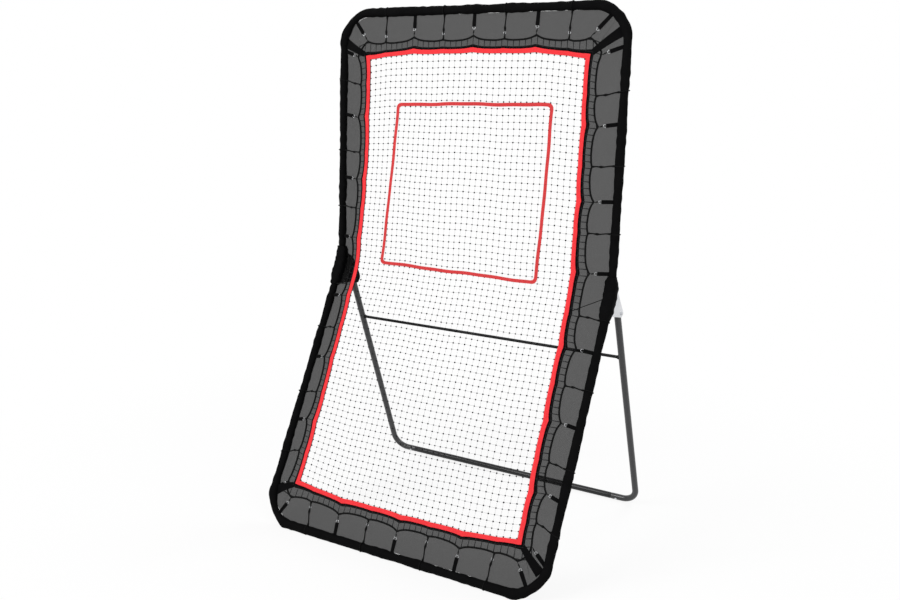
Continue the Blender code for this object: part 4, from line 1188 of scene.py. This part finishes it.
# Stage
CAM_PLACE, CAM_YAW, CAM_PITCH, CAM_ROLL = (1.7725, -3.0405, 1.6866), 0.5362, 0.2257, 0.0092
CAM_FOCAL, IMAGE_WIDTH, SENSOR = 943.58, 900.0, 36.0
FLOOR_HALF = 30.0
LIGHTS = (("key_light", (-2.6, -4.2, 4.6), 3.0, 210.0, (0, 0, 0.9)),
          ("fill_light", (4.2, -2.6, 2.4), 2.5, 70.0, (0, 0, 0.9)),
          ("rim_light", (1.5, 4.0, 3.6), 2.5, 90.0, (0, 0, 0.8)))


class SCENE_OT_net_stage(NetOperator):
    """White ground, soft light and the camera"""
    bl_idname = "scene.net_stage"
    bl_label = "Stage"

    def execute(self, context):
        scene = context.scene
        scene.view_settings.view_transform = "Standard"
        self.ground(scene)
        self.lights(scene)
        self.camera(scene)
        return {"FINISHED"}

    def ground(self, scene):
        """A wide flat floor."""
        s = FLOOR_HALF
        data = bpy.data.meshes.new("studio_floor")
        data.from_pydata([(-s, -s, 0), (s, -s, 0), (s, s, 0), (-s, s, 0)], [], [(0, 1, 2, 3)])
        floor = bpy.data.objects.new("studio_floor", data)
        scene.collection.objects.link(floor)
        mat, tree, shader = material("studio_white")
        if tree:
            self.white(tree, shader)
        data.materials.append(mat)

    def white(self, tree, shader):
        """White to the camera apart from the part's soft shadow, which fades out with distance."""
        tree.nodes.remove(shader)
        path = node(tree, "ShaderNodeLightPath").outputs
        bent = maths(tree, "ADD", path["Is Glossy Ray"], path["Is Transmission Ray"])
        seen = maths(tree, "MINIMUM", maths(tree, "ADD", path["Is Camera Ray"], bent), 1.0)
        lit = node(tree, "ShaderNodeBsdfDiffuse", {"Color": (0.86, 0.86, 0.86, 1)}).outputs[0]
        glow = node(tree, "ShaderNodeEmission", {"Color": (1, 1, 1, 1), "Strength": 1.0}).outputs[0]
        place = node(tree, "ShaderNodeTexCoord").outputs["Object"]
        away = node(tree, "ShaderNodeVectorMath", {0: place}, operation="LENGTH").outputs["Value"]
        share = node(tree, "ShaderNodeMapRange", {"Value": away, "From Min": 0.9, "From Max": 2.6, "To Min": 0.86,
                                                  "To Max": 1.0}, interpolation_type="SMOOTHSTEP").outputs[0]
        mix = node(tree, "ShaderNodeMixShader", {0: maths(tree, "MULTIPLY", seen, share), 1: lit, 2: glow})
        feed(tree, tree.nodes["Material Output"], {"Surface": mix.outputs[0]})

    def lights(self, scene):
        """White surroundings and three soft lamps."""
        scene.world = bpy.data.worlds.new("studio_air")
        scene.world.use_nodes = True
        tree = scene.world.node_tree
        path = node(tree, "ShaderNodeLightPath").outputs
        seen = maths(tree, "MINIMUM", maths(tree, "ADD", path["Is Camera Ray"], path["Is Glossy Ray"]), 1.0)
        feed(tree, tree.nodes["Background"], {"Color": (1, 1, 1, 1), "Strength": times_plus(tree, seen, 0.45, 0.55)})
        for name, place, size, power, aim in LIGHTS:
            lamp = bpy.data.lights.new(name, "AREA")
            lamp.size, lamp.energy = size, power
            obj = bpy.data.objects.new(name, lamp)
            obj.location = place
            obj.rotation_mode = "QUATERNION"
            obj.rotation_quaternion = (Vector(aim) - Vector(place)).to_track_quat("-Z", "Y")
            scene.collection.objects.link(obj)

    def camera(self, scene):
        """Place and turn solved from the photograph's lines; the focal length is in pixels of a 900 wide image."""
        data = bpy.data.cameras.new("photo_camera")
        data.sensor_fit, data.sensor_width = "HORIZONTAL", SENSOR
        data.lens = SENSOR * CAM_FOCAL / IMAGE_WIDTH
        obj = bpy.data.objects.new("photo_camera", data)
        scene.collection.objects.link(obj)
        level = math.cos(CAM_PITCH)
        back = np.array([math.sin(CAM_YAW) * level, -math.cos(CAM_YAW) * level, math.sin(CAM_PITCH)])
        right = np.array([math.cos(CAM_YAW), math.sin(CAM_YAW), 0.0])
        up = np.cross(back, right)
        c, s = math.cos(CAM_ROLL), math.sin(CAM_ROLL)
        right, up = c * right + s * up, -s * right + c * up
        obj.matrix_world = Matrix([*np.stack([right, up, back, CAM_PLACE], 1).tolist(), (0, 0, 0, 1)])
        scene.camera = obj


class VIEW3D_PT_target_net(bpy.types.Panel):
    """Lists the builders and the sizes they read"""
    bl_label = "Target Net"
    bl_space_type = "VIEW_3D"
    bl_region_type = "UI"
    bl_category = "Target Net"

    def draw(self, context):
        for group in sizes():
            column = self.layout.column(align=True)
            for key in group.__annotations__:
                column.prop(group, key)
        for op in OPERATORS:
            self.layout.operator(op.bl_idname)


OPERATORS = (OBJECT_OT_net_tubes, OBJECT_OT_net_leg, OBJECT_OT_net_hinges, OBJECT_OT_net_sleeves, OBJECT_OT_net_skirt,
             OBJECT_OT_net_netting, OBJECT_OT_net_bands, OBJECT_OT_net_straps, SCENE_OT_net_stage)
CLASSES = (NetFrameSizes, NetClothSizes, NetFinishes, *OPERATORS, VIEW3D_PT_target_net)
GROUPS = (("net_frame_sizes", NetFrameSizes), ("net_cloth_sizes", NetClothSizes), ("net_finishes", NetFinishes))


def register():
    for cls in CLASSES:
        bpy.utils.register_class(cls)
    for name, cls in GROUPS:
        setattr(bpy.types.Scene, name, bpy.props.PointerProperty(type=cls))


def unregister():
    for name, _ in GROUPS:
        delattr(bpy.types.Scene, name)
    for cls in reversed(CLASSES):
        bpy.utils.unregister_class(cls)


def main():
    register()
    for op in OPERATORS:
        group, name = op.bl_idname.split(".")
        getattr(getattr(bpy.ops, group), name)()


if __name__ == "__main__":
    main()
